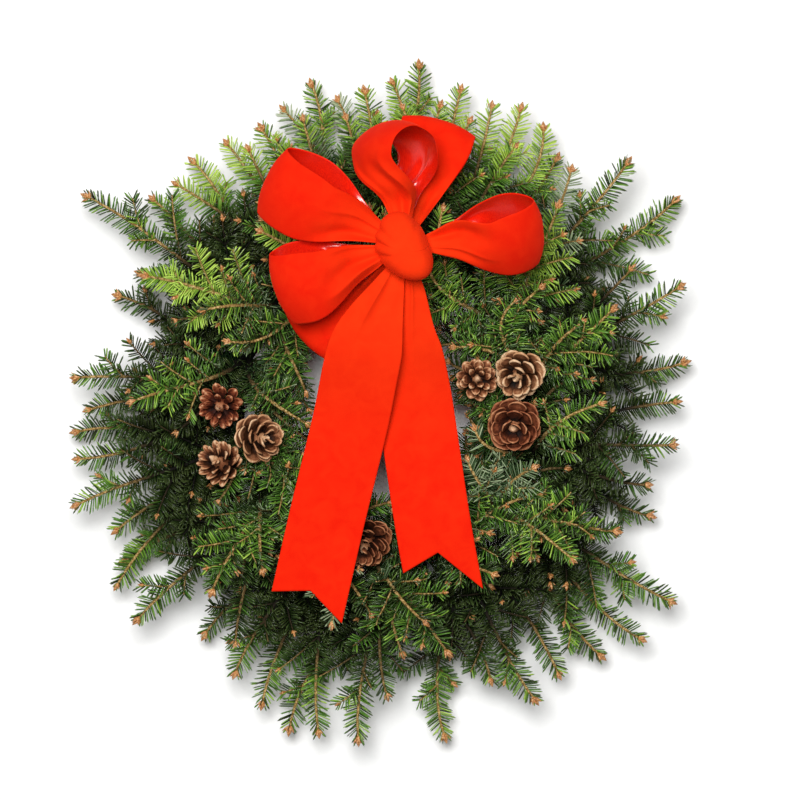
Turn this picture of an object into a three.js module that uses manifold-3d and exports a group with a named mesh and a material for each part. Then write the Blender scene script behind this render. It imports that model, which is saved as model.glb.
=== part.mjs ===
// A fresh evergreen wreath lying on its back: fir sprays held by the clamps of a steel ring, seven pine
// cones wired to the ring, and a velvet bow with two long tails.
// Millimetres. +Z points out of the wreath's face, +Y to its top. The ring's middle is the working centre
// until the last step, which stands the whole wreath on z = 0 with its box centred on the Z axis.

import * as THREE from 'three';
import { mergeVertices } from 'three/addons/utils/BufferGeometryUtils.js';
import Module from 'manifold-3d';

const wasm = await Module();
wasm.setup();

// ------------------------------------------------------------------ driving dimensions, millimetres
const RING_RADIUS = 127;
const RING_WIRE = 4;
const RING_FACETS = 28;
const CLAMP_COUNT = 14;
const CLAMP_STEP = 360 / CLAMP_COUNT;
const CLAMP_BAR = 1.8;
const CLAMP_DEPTH = 3;
const CLAMP_HALF_WIDTH = 5;
const CLAMP_FLOOR = 5.6;
const SEAT_GAP = 0.3;

const STEM_RADIUS = 3;
const STEM_TIP_RADIUS = 2;
const STEM_STUB = 10;
const STEM_STEPS = 4;
const BUD_LENGTH = 7;
const TWIG_RADIUS = 1.7;
const TWIG_TIP_RADIUS = 1.4;
const NEEDLE_LENGTH = 17;
const NEEDLE_WIDTH = 2.4;
const NEEDLE_THICKNESS = 1.5;
const NEEDLE_SPACING = 36; // along a twig, from one pair of needles to the next
const CLEARANCE = 0.45; // between a needle or twig and any other piece
const FIRST_SEED = 101;

const RIBBON_WIDTH = 63.5;
const RIBBON_THICKNESS = 1.2;
const RIBBON_CLEARANCE = 3.5; // needles stay this far below and beside it
const GATHER = 0.37; // half the ribbon's width over the distance from the knot's middle, while it fans out
const NECK_START = 12;
const NECK_HALF = 4.6;
const KNOT_REACH = 34; // the loops stay flat under the knot this far out
const UPPER_NECKS = 150;
const LOWER_NECKS = 139;
const KNOT = new THREE.Vector3(14.8, 136.6, 0);
const WIRE_RADIUS = 1.2;

const DEGREE = Math.PI / 180;
const UP = new THREE.Vector3(0, 0, 1);

// A stem's place in a clamp: outwards from the ring's wire, and the height of its middle. Stems have four
// flat sides, so two lie side by side on the clamp's floor and a third lies on both.
const STEM_FLAT = STEM_RADIUS * Math.SQRT1_2;
const LOWEST_STEM = CLAMP_FLOOR + SEAT_GAP + STEM_FLAT;
const SEATS = {
  outer: { across: STEM_FLAT + SEAT_GAP, height: LOWEST_STEM },
  inner: { across: -STEM_FLAT - SEAT_GAP, height: LOWEST_STEM },
  top: { across: 0, height: LOWEST_STEM + 2 * STEM_FLAT + 1.1 },
};

// How each kind of spray leaves its clamp and arrives at its tip: heading is the tip's direction from
// straight outwards, anticlockwise, in degrees.
const HABITS = {
  low: { heading: 10, lift: 4, arch: 4, start: 0.28, finish: 0.42 },
  high: { heading: 10, lift: 7, arch: 21, start: 0.26, finish: 0.42 },
  front: { heading: 22, lift: 46, arch: 16, start: 0.24, finish: 0.4 },
  inner: { heading: 118, lift: 40, arch: 18, start: 0.3, finish: 0.34 },
};

// Every spray: its clamp, its seat there, its habit, and its stem's tip as degrees round the ring, distance
// from the ring's middle and height.
const BACK_SPRAYS = [
  { clamp: 0, seat: 'outer', habit: 'low', tip: [9, 256, 28] },
  { clamp: 0, seat: 'inner', habit: 'high', tip: [22.8, 269, 54] },
  { clamp: 1, seat: 'outer', habit: 'low', tip: [36, 303, 26] },
  { clamp: 1, seat: 'inner', habit: 'high', tip: [45.8, 292, 60] },
  { clamp: 2, seat: 'outer', habit: 'low', tip: [56, 258, 24] },
  { clamp: 2, seat: 'inner', habit: 'high', tip: [66, 279, 52] },
  { clamp: 3, seat: 'outer', habit: 'low', tip: [84.7, 294, 26] },
  { clamp: 3, seat: 'inner', habit: 'high', tip: [94, 270, 58] },
  { clamp: 4, seat: 'outer', habit: 'low', tip: [103, 284, 24] },
  { clamp: 4, seat: 'inner', habit: 'high', tip: [114, 261, 52] },
  { clamp: 5, seat: 'outer', habit: 'low', tip: [128, 268, 26] },
  { clamp: 5, seat: 'inner', habit: 'high', tip: [144.6, 312, 46] },
  { clamp: 6, seat: 'outer', habit: 'low', tip: [157, 248, 26] },
  { clamp: 6, seat: 'inner', habit: 'high', tip: [174, 264, 56] },
  { clamp: 7, seat: 'outer', habit: 'low', tip: [184, 265, 24] },
  { clamp: 7, seat: 'inner', habit: 'high', tip: [197, 275, 52] },
  { clamp: 8, seat: 'outer', habit: 'low', tip: [210, 258, 26] },
  { clamp: 8, seat: 'inner', habit: 'high', tip: [220, 276, 50] },
  { clamp: 9, seat: 'outer', habit: 'low', tip: [231, 246, 24] },
  { clamp: 9, seat: 'inner', habit: 'high', tip: [240, 257, 52] },
  { clamp: 10, seat: 'outer', habit: 'low', tip: [253, 284, 26] },
  { clamp: 10, seat: 'inner', habit: 'high', tip: [265, 280, 52] },
  { clamp: 11, seat: 'outer', habit: 'low', tip: [280, 282, 24] },
  { clamp: 11, seat: 'inner', habit: 'high', tip: [297, 275, 54] },
  { clamp: 12, seat: 'outer', habit: 'low', tip: [311, 277, 26] },
  { clamp: 12, seat: 'inner', habit: 'high', tip: [326, 290, 46] },
  { clamp: 13, seat: 'outer', habit: 'low', tip: [338, 241, 26] },
  { clamp: 13, seat: 'inner', habit: 'high', tip: [353, 243, 56] },
];
const FRONT_SPRAYS = [
  { clamp: 0, seat: 'top', habit: 'front', tip: [24, 208, 84] },
  { clamp: 1, seat: 'top', habit: 'front', tip: [50, 224, 88] },
  { clamp: 5, seat: 'top', habit: 'front', tip: [151, 232, 92] },
  { clamp: 6, seat: 'top', habit: 'front', tip: [178, 214, 88] },
  { clamp: 8, seat: 'top', habit: 'front', tip: [226, 212, 84] },
  { clamp: 10, seat: 'top', habit: 'front', tip: [284, 210, 78] },
  { clamp: 12, seat: 'top', habit: 'front', tip: [332, 218, 86] },
];
const INNER_SPRAYS = [
  { clamp: 7, seat: 'top', habit: 'inner', tip: [208, 80, 62] },
  { clamp: 9, seat: 'top', habit: 'inner', tip: [262, 80, 64] },
  { clamp: 11, seat: 'top', habit: 'inner', tip: [308, 80, 64] },
  { clamp: 13, seat: 'top', habit: 'inner', tip: [358, 80, 50] },
];
// Side twigs in pairs: how far along the stem, their length over the stem's, and their angle to it.
const TWIG_PAIRS = [
  { along: 0.44, length: 0.34, angle: 47 },
  { along: 0.66, length: 0.25, angle: 44 },
];

// Cones: the stalk end's place, the axis towards the tip, the width across the open scales and the length.
const RIGHT_CONES = [
  { base: [75, 25, 72], axis: [0.05, 0.06, 1], width: 35, length: 36 },
  { base: [116, 36, 72], axis: [-0.24, -0.3, 0.9], width: 42, length: 46 },
  { base: [108, -8, 70], axis: [-0.06, -0.26, 0.95], width: 46, length: 42 },
];
const LEFT_CONES = [
  { base: [-138, 6, 70], axis: [-0.12, -0.14, 0.97], width: 38, length: 40 },
  { base: [-118, -24, 74], axis: [0.55, 0.02, 0.8], width: 42, length: 42 },
  { base: [-132, -50, 70], axis: [-0.52, 0.34, 0.78], width: 38, length: 40 },
];
const BOTTOM_CONES = [
  { base: [-15, -102, 56], axis: [-0.16, -0.5, 0.85], width: 44, length: 44 },
];
const CONE_SCALES = 18;
const CONE_WIRE_FORK = 34; // the fork's height over the ring
const CONE_WIRE_FEET = { right: -9, left: 194, bottom: 270 }; // degrees round the ring

// The bow: each loop's heading from the knot, how far it reaches, the height of its belly, how far it
// climbs between two distances from the knot, its roll about its own length and its level in the gather.
const BOW_LOOPS = {
  upper_left: { heading: 153.5, reach: 122, belly: 38, climb: [-1, 34, 90], roll: -26, level: UPPER_NECKS },
  lower_left: { heading: 199.5, reach: 108, belly: 36, climb: [3, 34, 90], roll: -19, level: UPPER_NECKS },
  back_left: { heading: 224, reach: 110, belly: 20, climb: [-29, 14, 56], roll: 0, level: LOWER_NECKS },
  top: { heading: 96, reach: 98, belly: 50, climb: [10, 34, 90], roll: -55, level: UPPER_NECKS },
  back_top: { heading: 74, reach: 105, belly: 21, climb: [-28, 14, 52], roll: 0, level: LOWER_NECKS },
  right: { heading: 6.5, reach: 110, belly: 33, climb: [-1, 34, 90], roll: 40, level: UPPER_NECKS },
};
// The tails' middle lines, and how far each end's left corner, notch and right corner stand past the line.
const TAILS = {
  left: {
    path: [
      [11.3, 125.1, 145.4], [2, 103, 149], [-16, 57, 142], [-31, -12, 119], [-50, -90, 112], [-66, -160, 108],
    ],
    cut: [-1, -9, 12],
  },
  right: {
    path: [
      [16.3, 124.6, 143.4], [18, 101, 141], [15, 58, 130], [24, 2, 110], [39, -98, 106], [47, -142, 104],
    ],
    cut: [-11, -23, 14],
  },
};

// The wreath's open middle and the slots of daylight beside and between the tails: low and high corners.
const OPEN_SPACES = [
  [[-46, -46, -8], [46, 46, 98]],
  [[59, -14, -8], [64, 3, 132]],
  [[-60, 36, -8], [-54.4, 53, 132]],
  [[-5.9, -62, -8], [-1.4, -49, 132]],
];

// ------------------------------------------------------------------ small tools
const vector = (x, y, z) => new THREE.Vector3(x, y, z);
const mixed = (a, b, share) => a + (b - a) * share;

function polar(degrees, radius, height) {
  return vector(radius * Math.cos(degrees * DEGREE), radius * Math.sin(degrees * DEGREE), height);
}

function plus(point, ...steps) {
  const sum = point.clone();
  for (const [direction, amount] of steps) sum.addScaledVector(direction, amount);
  return sum;
}

function smooth(value, low, high) {
  const share = Math.min(1, Math.max(0, (value - low) / (high - low)));
  return share * share * (3 - 2 * share);
}

// The same draws every time, so that the wreath never changes.
function seededDraw(seed) {
  let state = seed >>> 0;
  return () => {
    state = (Math.imul(state, 1664525) + 1013904223) >>> 0;
    return (state >>> 8) / 16777216;
  };
}

function moveVertices(geometry, move) {
  const places = geometry.attributes.position;
  const at = new THREE.Vector3();
  for (let i = 0; i < places.count; i += 1) {
    at.fromBufferAttribute(places, i);
    const moved = move(at);
    places.setXYZ(i, moved.x, moved.y, moved.z);
  }
  return geometry;
}

function solidOf(geometry) {
  const bare = new THREE.BufferGeometry();
  bare.setAttribute('position', geometry.attributes.position.clone());
  if (geometry.index) bare.setIndex(geometry.index.clone());
  const merged = mergeVertices(bare, 1e-3);
  const corners = merged.index.array;
  const kept = [];
  for (let i = 0; i < corners.length; i += 3) {
    const [a, b, c] = corners.slice(i, i + 3);
    if (a !== b && b !== c && c !== a) kept.push(a, b, c);
  }
  const vertProperties = new Float32Array(merged.attributes.position.array);
  const triVerts = new Uint32Array(kept);
  return new wasm.Manifold(new wasm.Mesh({ numProp: 3, vertProperties, triVerts }));
}

function geometryOf(solid) {
  const mesh = solid.getMesh();
  const geometry = new THREE.BufferGeometry();
  geometry.setAttribute('position', new THREE.BufferAttribute(new Float32Array(mesh.vertProperties), 3));
  geometry.setIndex([...mesh.triVerts]);
  geometry.computeVertexNormals();
  return geometry;
}

function joined(geometries) {
  let whole = solidOf(geometries[0]);
  for (const geometry of geometries.slice(1)) whole = whole.add(solidOf(geometry));
  return geometryOf(whole);
}

// Side, forward and up directions at each point of a path, turned as little as possible on the way.
function framesAlong(points, firstUp) {
  let up = firstUp.clone();
  return points.map((point, i) => {
    const before = points[Math.max(0, i - 1)];
    const after = points[Math.min(points.length - 1, i + 1)];
    const forward = after.clone().sub(before).normalize();
    up = plus(up, [forward, -up.dot(forward)]).normalize();
    return { point, forward, up, side: forward.clone().cross(up) };
  });
}

// A four-sided rod along a path, with flats above, below and at its sides: a cylinder of four facets
// whose rows of vertices are moved onto the path, each row with its own radius.
function rod(points, radii, firstUp = UP) {
  const steps = points.length - 1;
  const frames = framesAlong(points, firstUp);
  const facets = new THREE.CylinderGeometry(1, 1, 1, 4, steps, false, Math.PI / 4);
  return moveVertices(facets, (v) => {
    const row = Math.round((v.y + 0.5) * steps);
    const { point, side, up } = frames[row];
    return plus(point, [side, v.x * radii[row]], [up, v.z * radii[row]]);
  });
}

const wireRod = (points, radius) => rod(points, points.map(() => radius), vector(0, 1, 0));

// A tapering stem or twig with a pointed bud at its end.
function buddedRod(points, startRadius, endRadius) {
  const last = points[points.length - 1];
  const onward = last.clone().sub(points[points.length - 2]).normalize();
  const radii = points.map((_, i) => mixed(startRadius, endRadius, i / (points.length - 1)));
  return rod([...points, plus(last, [onward, BUD_LENGTH])], [...radii, 0]);
}

// A three-sided needle, flatter than wide, with its root at the middle of its twig.
function needle({ a, b }, face) {
  const { side, up } = framesAlong([a, b], face)[0];
  const widest = NEEDLE_WIDTH / Math.sqrt(3);
  const thickest = NEEDLE_THICKNESS / 1.5;
  return moveVertices(new THREE.ConeGeometry(1, 1, 3, 1), (v) => {
    const at = v.y < 0 ? a : b;
    return plus(at, [side, v.x * widest], [up, v.z * thickest]);
  });
}

// ------------------------------------------------------------------ keeping pieces apart
const placed = [];
const ceilings = [];

// The least gap between two tapered limbs, from the closest points of their middle lines.
function gapBetween(one, other) {
  const d1 = one.b.clone().sub(one.a);
  const d2 = other.b.clone().sub(other.a);
  const r = one.a.clone().sub(other.a);
  const a = d1.dot(d1);
  const e = d2.dot(d2);
  const f = d2.dot(r);
  const c = d1.dot(r);
  const b = d1.dot(d2);
  const flat = a * e - b * b;
  let s = flat > 1e-9 ? THREE.MathUtils.clamp((b * f - c * e) / flat, 0, 1) : 0;
  const t = THREE.MathUtils.clamp((b * s + f) / e, 0, 1);
  s = THREE.MathUtils.clamp((b * t - c) / a, 0, 1);
  const apart = plus(one.a, [d1, s]).distanceTo(plus(other.a, [d2, t]));
  return apart - mixed(one.ra, one.rb, s) - mixed(other.ra, other.rb, t);
}

function distanceInPlan(point, a, b) {
  const dx = b.x - a.x;
  const dy = b.y - a.y;
  const along = ((point.x - a.x) * dx + (point.y - a.y) * dy) / (dx * dx + dy * dy);
  const share = THREE.MathUtils.clamp(along, 0, 1);
  return Math.hypot(point.x - a.x - dx * share, point.y - a.y - dy * share);
}

function inOpenSpace(point, margin) {
  return OPEN_SPACES.some(([low, high]) => point.x > low[0] - margin && point.x < high[0] + margin
    && point.y > low[1] - margin && point.y < high[1] + margin
    && point.z > low[2] - margin && point.z < high[2] + margin);
}

function isClear(limb, owner) {
  for (const share of [0.25, 0.5, 0.75, 1]) {
    const point = limb.a.clone().lerp(limb.b, share);
    if (point.z < 2.2) return false;
    if (inOpenSpace(point, 2)) return false;
    for (const { a, b, halfWidth, floor } of ceilings) {
      if (point.z > floor && distanceInPlan(point, a, b) < halfWidth) return false;
    }
  }
  const outerPart = { ...limb, a: limb.a.clone().lerp(limb.b, 0.5), ra: mixed(limb.ra, limb.rb, 0.5) };
  return placed.every((other) => (other.owner === owner
    ? other.b.equals(limb.a) || gapBetween(outerPart, other) > 0
    : gapBetween(limb, other) > CLEARANCE));
}

function occupy(points, radius, owner) {
  for (let i = 1; i < points.length; i += 1) {
    placed.push({ owner, a: points[i - 1], b: points[i], ra: radius, rb: radius });
  }
}

// ------------------------------------------------------------------ ring and clamps
// One clamp, folded shut over its stems: a flat wire frame standing across the ring.
function clampFrame(angle, hasThreeStems) {
  const top = SEATS[hasThreeStems ? 'top' : 'outer'].height + STEM_FLAT + SEAT_GAP;
  const shape = new THREE.Shape();
  const hole = new THREE.Path();
  for (const [path, grow] of [[shape, CLAMP_BAR], [hole, 0]]) {
    const right = CLAMP_HALF_WIDTH + grow;
    path.moveTo(right, CLAMP_FLOOR - grow);
    path.lineTo(right, top + grow);
    path.lineTo(-right, top + grow);
    path.lineTo(-right, CLAMP_FLOOR - grow);
    path.closePath();
  }
  shape.holes.push(hole);
  const geometry = new THREE.ExtrudeGeometry(shape, { depth: CLAMP_DEPTH, bevelEnabled: false });
  geometry.translate(0, 0, -CLAMP_DEPTH / 2);
  geometry.rotateX(Math.PI / 2);
  geometry.translate(RING_RADIUS, 0, 0);
  geometry.rotateZ(angle * DEGREE);
  return geometry;
}

function clampRing(crowded) {
  const half = RING_WIRE / 2;
  const profile = [[-half, 0], [half, 0], [half * 0.7, RING_WIRE], [-half * 0.7, RING_WIRE], [-half, 0]];
  const section = profile.map(([r, z]) => new THREE.Vector2(RING_RADIUS + r, z));
  const ring = new THREE.LatheGeometry(section, RING_FACETS);
  ring.rotateX(Math.PI / 2);
  const clamps = [];
  for (let i = 0; i < CLAMP_COUNT; i += 1) clamps.push(clampFrame(i * CLAMP_STEP, crowded.has(i)));
  return joined([ring, ...clamps]);
}

function occupyRing() {
  const round = [];
  for (let i = 0; i <= RING_FACETS; i += 1) round.push(polar((i * 360) / RING_FACETS, RING_RADIUS, 2));
  occupy(round, 2.4, 'clamp_ring');
}

// ------------------------------------------------------------------ sprays
function stemPath({ clamp, seat, habit, tip }) {
  const { heading, lift, arch, start, finish } = HABITS[habit];
  const angle = clamp * CLAMP_STEP;
  const along = polar(angle + 90, 1, 0);
  const held = polar(angle, RING_RADIUS + SEATS[seat].across, SEATS[seat].height);
  const leaves = plus(held, [along, 3]);
  const end = polar(...tip);
  const reach = leaves.distanceTo(end);
  const arriving = polar(tip[0] + heading, 1, 0);
  const curve = new THREE.CubicBezierCurve3(
    leaves,
    plus(leaves, [along, start * reach], [UP, lift]),
    plus(end, [arriving, -finish * reach], [UP, arch]),
    end,
  );
  return [plus(held, [along, -STEM_STUB]), ...curve.getPoints(STEM_STEPS)];
}

// The place, direction and sideways direction at a share of the way along a limb's points.
function station(points, share) {
  const place = share * (points.length - 1);
  const i = Math.min(points.length - 2, Math.floor(place));
  const point = points[i].clone().lerp(points[i + 1], place - i);
  const forward = points[i + 1].clone().sub(points[i]).normalize();
  const face = plus(UP, [forward, -UP.dot(forward)]).normalize();
  return { point, forward, face, side: forward.clone().cross(face) };
}

function lengthOf(points) {
  return points.slice(1).reduce((sum, point, i) => sum + point.distanceTo(points[i]), 0);
}

// A limb that starts at a station and leaves it at an angle, sideways and a little up or down.
function limbFrom({ point, forward, face, side }, { angle, rise, turn, length, ra, rb }) {
  const sideways = Math.sin(angle * DEGREE) * turn;
  const tip = plus(
    point,
    [forward, length * Math.cos(angle * DEGREE)],
    [side, length * sideways * Math.cos(rise * DEGREE)],
    [face, length * Math.abs(sideways) * Math.sin(rise * DEGREE)],
  );
  return { a: point, b: tip, ra, rb };
}

const RISES = [0, 14, -14, 28, -28, 42];

// Adds the first of several bends of a limb that is clear of every other piece, or nothing.
function tryLimb(owner, at, settings) {
  for (const bend of RISES) {
    const limb = limbFrom(at, { ...settings, rise: settings.rise + bend });
    if (isClear(limb, owner)) {
      placed.push({ ...limb, owner });
      return limb;
    }
  }
  return null;
}

function growTwigs(spray) {
  const { name, stem, draw } = spray;
  const whole = lengthOf(stem);
  for (const pair of TWIG_PAIRS) {
    for (const turn of [-1, 1]) {
      const length = whole * pair.length * mixed(0.85, 1.1, draw());
      const rise = mixed(-6, 16, draw());
      const at = station(stem, pair.along + 0.03 * turn);
      const limb = tryLimb(name, at, {
        angle: pair.angle, rise, turn, length, ra: TWIG_RADIUS, rb: TWIG_TIP_RADIUS,
      });
      if (limb) spray.twigs.push(limb);
    }
  }
}

// Needles in a comb along both sides of a limb.
function growNeedles(spray, points, from) {
  const { name, draw } = spray;
  const whole = lengthOf(points);
  const count = Math.max(1, Math.round((whole * (1 - from)) / NEEDLE_SPACING));
  for (let i = 0; i < count; i += 1) {
    for (const turn of [-1, 1]) {
      const share = from + ((1 - from) * (i + 0.35 + 0.25 * turn)) / count;
      const length = NEEDLE_LENGTH * mixed(0.88, 1.1, draw());
      const rise = mixed(-12, 20, draw());
      const at = station(points, Math.min(0.985, share));
      const limb = tryLimb(name, at, { angle: 62, rise, turn, length, ra: 1.2, rb: 0.1 });
      if (limb) spray.needles.push([limb, at.face]);
    }
  }
}

function sprayGeometry({ stem, twigs, needles }) {
  const parts = [buddedRod(stem, STEM_RADIUS, STEM_TIP_RADIUS)];
  for (const { a, b } of twigs) parts.push(buddedRod([a, b], TWIG_RADIUS, TWIG_TIP_RADIUS));
  for (const [limb, face] of needles) parts.push(needle(limb, face));
  return joined(parts);
}

// ------------------------------------------------------------------ pine cones
function coneAxes({ base, axis }) {
  const tipward = vector(...axis).normalize();
  const turn = new THREE.Quaternion().setFromUnitVectors(UP, tipward);
  return { foot: vector(...base), tipward, turn };
}

// An open cone standing on its stalk end: a spindle with thick scales set round it by the golden angle.
function pineCone(cone) {
  const { width, length } = cone;
  const { foot, turn } = coneAxes(cone);
  const girth = width / 2;
  const spindle = [[0, 0], [0.32, 0], [0.44, 0.2], [0.38, 0.55], [0, 0.94]];
  const core = new THREE.LatheGeometry(spindle.map(([r, z]) => new THREE.Vector2(r * girth, z * length)), 6);
  core.rotateX(Math.PI / 2);
  const parts = [core];
  for (let i = 0; i < CONE_SCALES; i += 1) {
    const share = i / (CONE_SCALES - 1);
    const height = length * mixed(0.1, 0.84, share ** 0.9);
    const lean = mixed(8, 68, share ** 1.3) * DEGREE;
    const reach = girth * mixed(1, 0.42, share ** 1.4) * Math.min(1, 0.8 + share * 2);
    const wide = mixed(0.36, 0.2, share) * width;
    const outward = vector(Math.cos(lean), 0, Math.sin(lean));
    const flat = vector(-Math.sin(lean), 0, Math.cos(lean));
    const scale = moveVertices(new THREE.ConeGeometry(1, 1, 3, 1), (v) => {
      const isEnd = v.y < 0;
      const across = isEnd ? v.x * wide * 0.5 : 0;
      const thick = isEnd ? v.z * 1.6 : 0;
      const at = vector(girth * 0.08, across, height);
      return plus(at, [outward, isEnd ? reach / Math.max(0.55, Math.cos(lean)) : 0], [flat, thick]);
    });
    scale.rotateZ(i * 137.508 * DEGREE);
    parts.push(scale);
  }
  for (const part of parts) {
    part.applyQuaternion(turn);
    part.translate(foot.x, foot.y, foot.z);
  }
  return joined(parts);
}

function occupyCone(cone, owner) {
  const { foot, tipward } = coneAxes(cone);
  const low = plus(foot, [tipward, cone.width * 0.42]);
  const high = plus(foot, [tipward, Math.max(cone.length * 0.5, cone.length - cone.width * 0.5)]);
  occupy([plus(foot, [tipward, 6]), low, high], cone.width / 2 + 1, owner);
}

// A wire that stands on the ring, rises, and parts to the stalk end of each cone of its group.
function coneWire(cones, footAngle) {
  const foot = polar(footAngle, RING_RADIUS, RING_WIRE + SEAT_GAP);
  const fork = plus(foot, [UP, CONE_WIRE_FORK]);
  const limbs = [[foot, plus(fork, [UP, 2])]];
  for (const cone of cones) {
    const { foot: base, tipward } = coneAxes(cone);
    limbs.push([fork, plus(base, [tipward, -12]), plus(base, [tipward, -SEAT_GAP])]);
  }
  return limbs;
}

// ------------------------------------------------------------------ bow
// A ribbon strip that goes out along the lower layer of a loop and comes back over the upper one.
function ribbonLoop({ heading, reach, belly, climb, roll, level }) {
  const line = new THREE.CatmullRomCurve3([
    vector(NECK_START, 0, -NECK_HALF),
    vector(KNOT_REACH, 0, -NECK_HALF),
    vector(reach * 0.56, 0, -belly * 0.42),
    vector(reach * 0.87, 0, -belly * 0.4),
    vector(reach, 0, 0),
    vector(reach * 0.87, 0, belly * 0.42),
    vector(reach * 0.56, 0, belly * 0.44),
    vector(KNOT_REACH, 0, NECK_HALF),
    vector(NECK_START, 0, NECK_HALF),
  ]);
  const across = vector(0, 1, 0);
  const strip = moveVertices(new THREE.BoxGeometry(1, 1, 1, 3, 11, 1), (v) => {
    const point = line.getPointAt(v.y + 0.5);
    const outward = across.clone().cross(line.getTangentAt(v.y + 0.5));
    const half = Math.min(RIBBON_WIDTH / 2, point.x * GATHER);
    const crown = 5 * (1 - 4 * v.x * v.x) * smooth(point.x, KNOT_REACH, 80);
    const placedAt = plus(point, [across, 2 * v.x * half], [outward, v.z * RIBBON_THICKNESS + crown]);
    placedAt.applyAxisAngle(vector(1, 0, 0), roll * DEGREE * smooth(point.x, KNOT_REACH, 76));
    return plus(placedAt, [UP, climb[0] * smooth(point.x, climb[1], climb[2])]);
  });
  strip.rotateZ(heading * DEGREE);
  strip.translate(KNOT.x, KNOT.y, level);
  return strip;
}

function ribbonTail({ path, cut }) {
  const line = new THREE.CatmullRomCurve3(path.map((point) => vector(...point)));
  return moveVertices(new THREE.BoxGeometry(1, 1, 1, 4, 8, 1), (v) => {
    const share = 0.5 - v.y;
    const point = line.getPointAt(share);
    const forward = line.getTangentAt(share);
    const right = UP.clone().cross(forward).normalize();
    const face = forward.clone().cross(right);
    const fromKnot = Math.hypot(point.x - KNOT.x, point.y - KNOT.y);
    const half = Math.min(RIBBON_WIDTH / 2, fromKnot * GATHER);
    const cutPast = v.x < 0 ? mixed(cut[1], cut[0], -2 * v.x) : mixed(cut[1], cut[2], 2 * v.x);
    return plus(
      point,
      [right, 2 * v.x * half],
      [forward, cutPast * smooth(share, 0.84, 1)],
      [face, v.z * RIBBON_THICKNESS],
    );
  });
}

function bowKnot() {
  const profile = [[0, 0], [0.86, 0], [1, 0.22], [0.93, 0.55], [0.66, 0.85], [0.3, 0.98], [0, 1]];
  const dome = new THREE.LatheGeometry(profile.map(([r, z]) => new THREE.Vector2(r, z)), 10);
  dome.rotateX(Math.PI / 2);
  dome.scale(27, 33, 26);
  dome.rotateZ(12 * DEGREE);
  dome.translate(KNOT.x - 0.5, KNOT.y, UPPER_NECKS + NECK_HALF + RIBBON_THICKNESS / 2 + 2 * SEAT_GAP);
  return dome;
}

// The wire that gathers the bow: a leg from the ring up into a ring of wire between the two rows of necks.
const TIE_FOOT = 96;
const TIE_BEND = 112;
const TIE_HEIGHT = (UPPER_NECKS + LOWER_NECKS) / 2;

function tieWireLimbs() {
  const foot = polar(TIE_FOOT, RING_RADIUS, RING_WIRE + SEAT_GAP);
  const top = vector(KNOT.x, KNOT.y, TIE_HEIGHT + 0.6);
  const side = vector(NECK_START - 1.8, 0, TIE_HEIGHT).add(KNOT);
  const bend = vector(KNOT.x, KNOT.y, TIE_BEND);
  return [[foot, plus(foot, [UP, 22]), bend, top], [vector(KNOT.x - 1, KNOT.y, TIE_HEIGHT), side]];
}

function tieWire() {
  const turn = new THREE.TorusGeometry(NECK_START - 1.7, WIRE_RADIUS, 4, 14);
  turn.translate(KNOT.x, KNOT.y, TIE_HEIGHT);
  const [leg, arm] = tieWireLimbs();
  return joined([wireRod(leg, 1.5), wireRod(arm, 0.9), turn]);
}

// ------------------------------------------------------------------ assembly
const finishes = {
  steel: new THREE.MeshStandardMaterial({ color: '#3c4a3c', roughness: 0.45, metalness: 0.8 }),
  needles: new THREE.MeshStandardMaterial({ color: '#2f5a24', roughness: 0.6, metalness: 0 }),
  freshNeedles: new THREE.MeshStandardMaterial({ color: '#6f9a34', roughness: 0.6, metalness: 0 }),
  cone: new THREE.MeshStandardMaterial({ color: '#6b4328', roughness: 0.75, metalness: 0 }),
  velvet: new THREE.MeshStandardMaterial({ color: '#e3220f', roughness: 0.9, metalness: 0 }),
};
const wreath = new THREE.Group();

function addPiece(name, geometry, material) {
  const mesh = new THREE.Mesh(geometry, material);
  mesh.name = name;
  wreath.add(mesh);
}

function named(prefix, list) {
  return list.map((entry, i) => ({ ...entry, name: `${prefix}_${String(i + 1).padStart(2, '0')}` }));
}

function addBow() {
  for (const [name, loop] of Object.entries(BOW_LOOPS)) {
    const geometry = ribbonLoop(loop);
    geometry.computeBoundingBox();
    const end = polar(loop.heading, loop.reach, 0).add(KNOT);
    const floor = geometry.boundingBox.min.z - RIBBON_CLEARANCE;
    ceilings.push({ a: KNOT, b: end, halfWidth: RIBBON_WIDTH / 2 + RIBBON_CLEARANCE, floor });
    addPiece(`bow_loop_${name}`, geometryOf(solidOf(geometry)), finishes.velvet);
  }
  for (const [name, tail] of Object.entries(TAILS)) {
    const points = tail.path.map((point) => vector(...point));
    for (let i = 1; i < points.length; i += 1) {
      const floor = Math.min(points[i - 1].z, points[i].z) - RIBBON_CLEARANCE;
      const halfWidth = RIBBON_WIDTH / 2 + RIBBON_CLEARANCE;
      ceilings.push({ a: points[i - 1], b: points[i], halfWidth, floor });
    }
    addPiece(`bow_tail_${name}`, geometryOf(solidOf(ribbonTail(tail))), finishes.velvet);
  }
  addPiece('bow_knot', geometryOf(solidOf(bowKnot())), finishes.velvet);
  addPiece('bow_tie_wire', tieWire(), finishes.steel);
  for (const limb of tieWireLimbs()) occupy(limb, 1.6, 'bow_tie_wire');
}

function addCones(side, cones) {
  const wire = `${side}_cone_wire`;
  const limbs = coneWire(cones, CONE_WIRE_FEET[side]);
  for (const limb of limbs) occupy(limb, WIRE_RADIUS + 0.2, wire);
  addPiece(wire, joined(limbs.map((limb) => wireRod(limb, WIRE_RADIUS))), finishes.steel);
  cones.forEach((cone, i) => {
    const name = cones.length > 1 ? `${side}_cone_${i + 1}` : `${side}_cone`;
    occupyCone(cone, name);
    addPiece(name, pineCone(cone), finishes.cone);
  });
}

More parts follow.
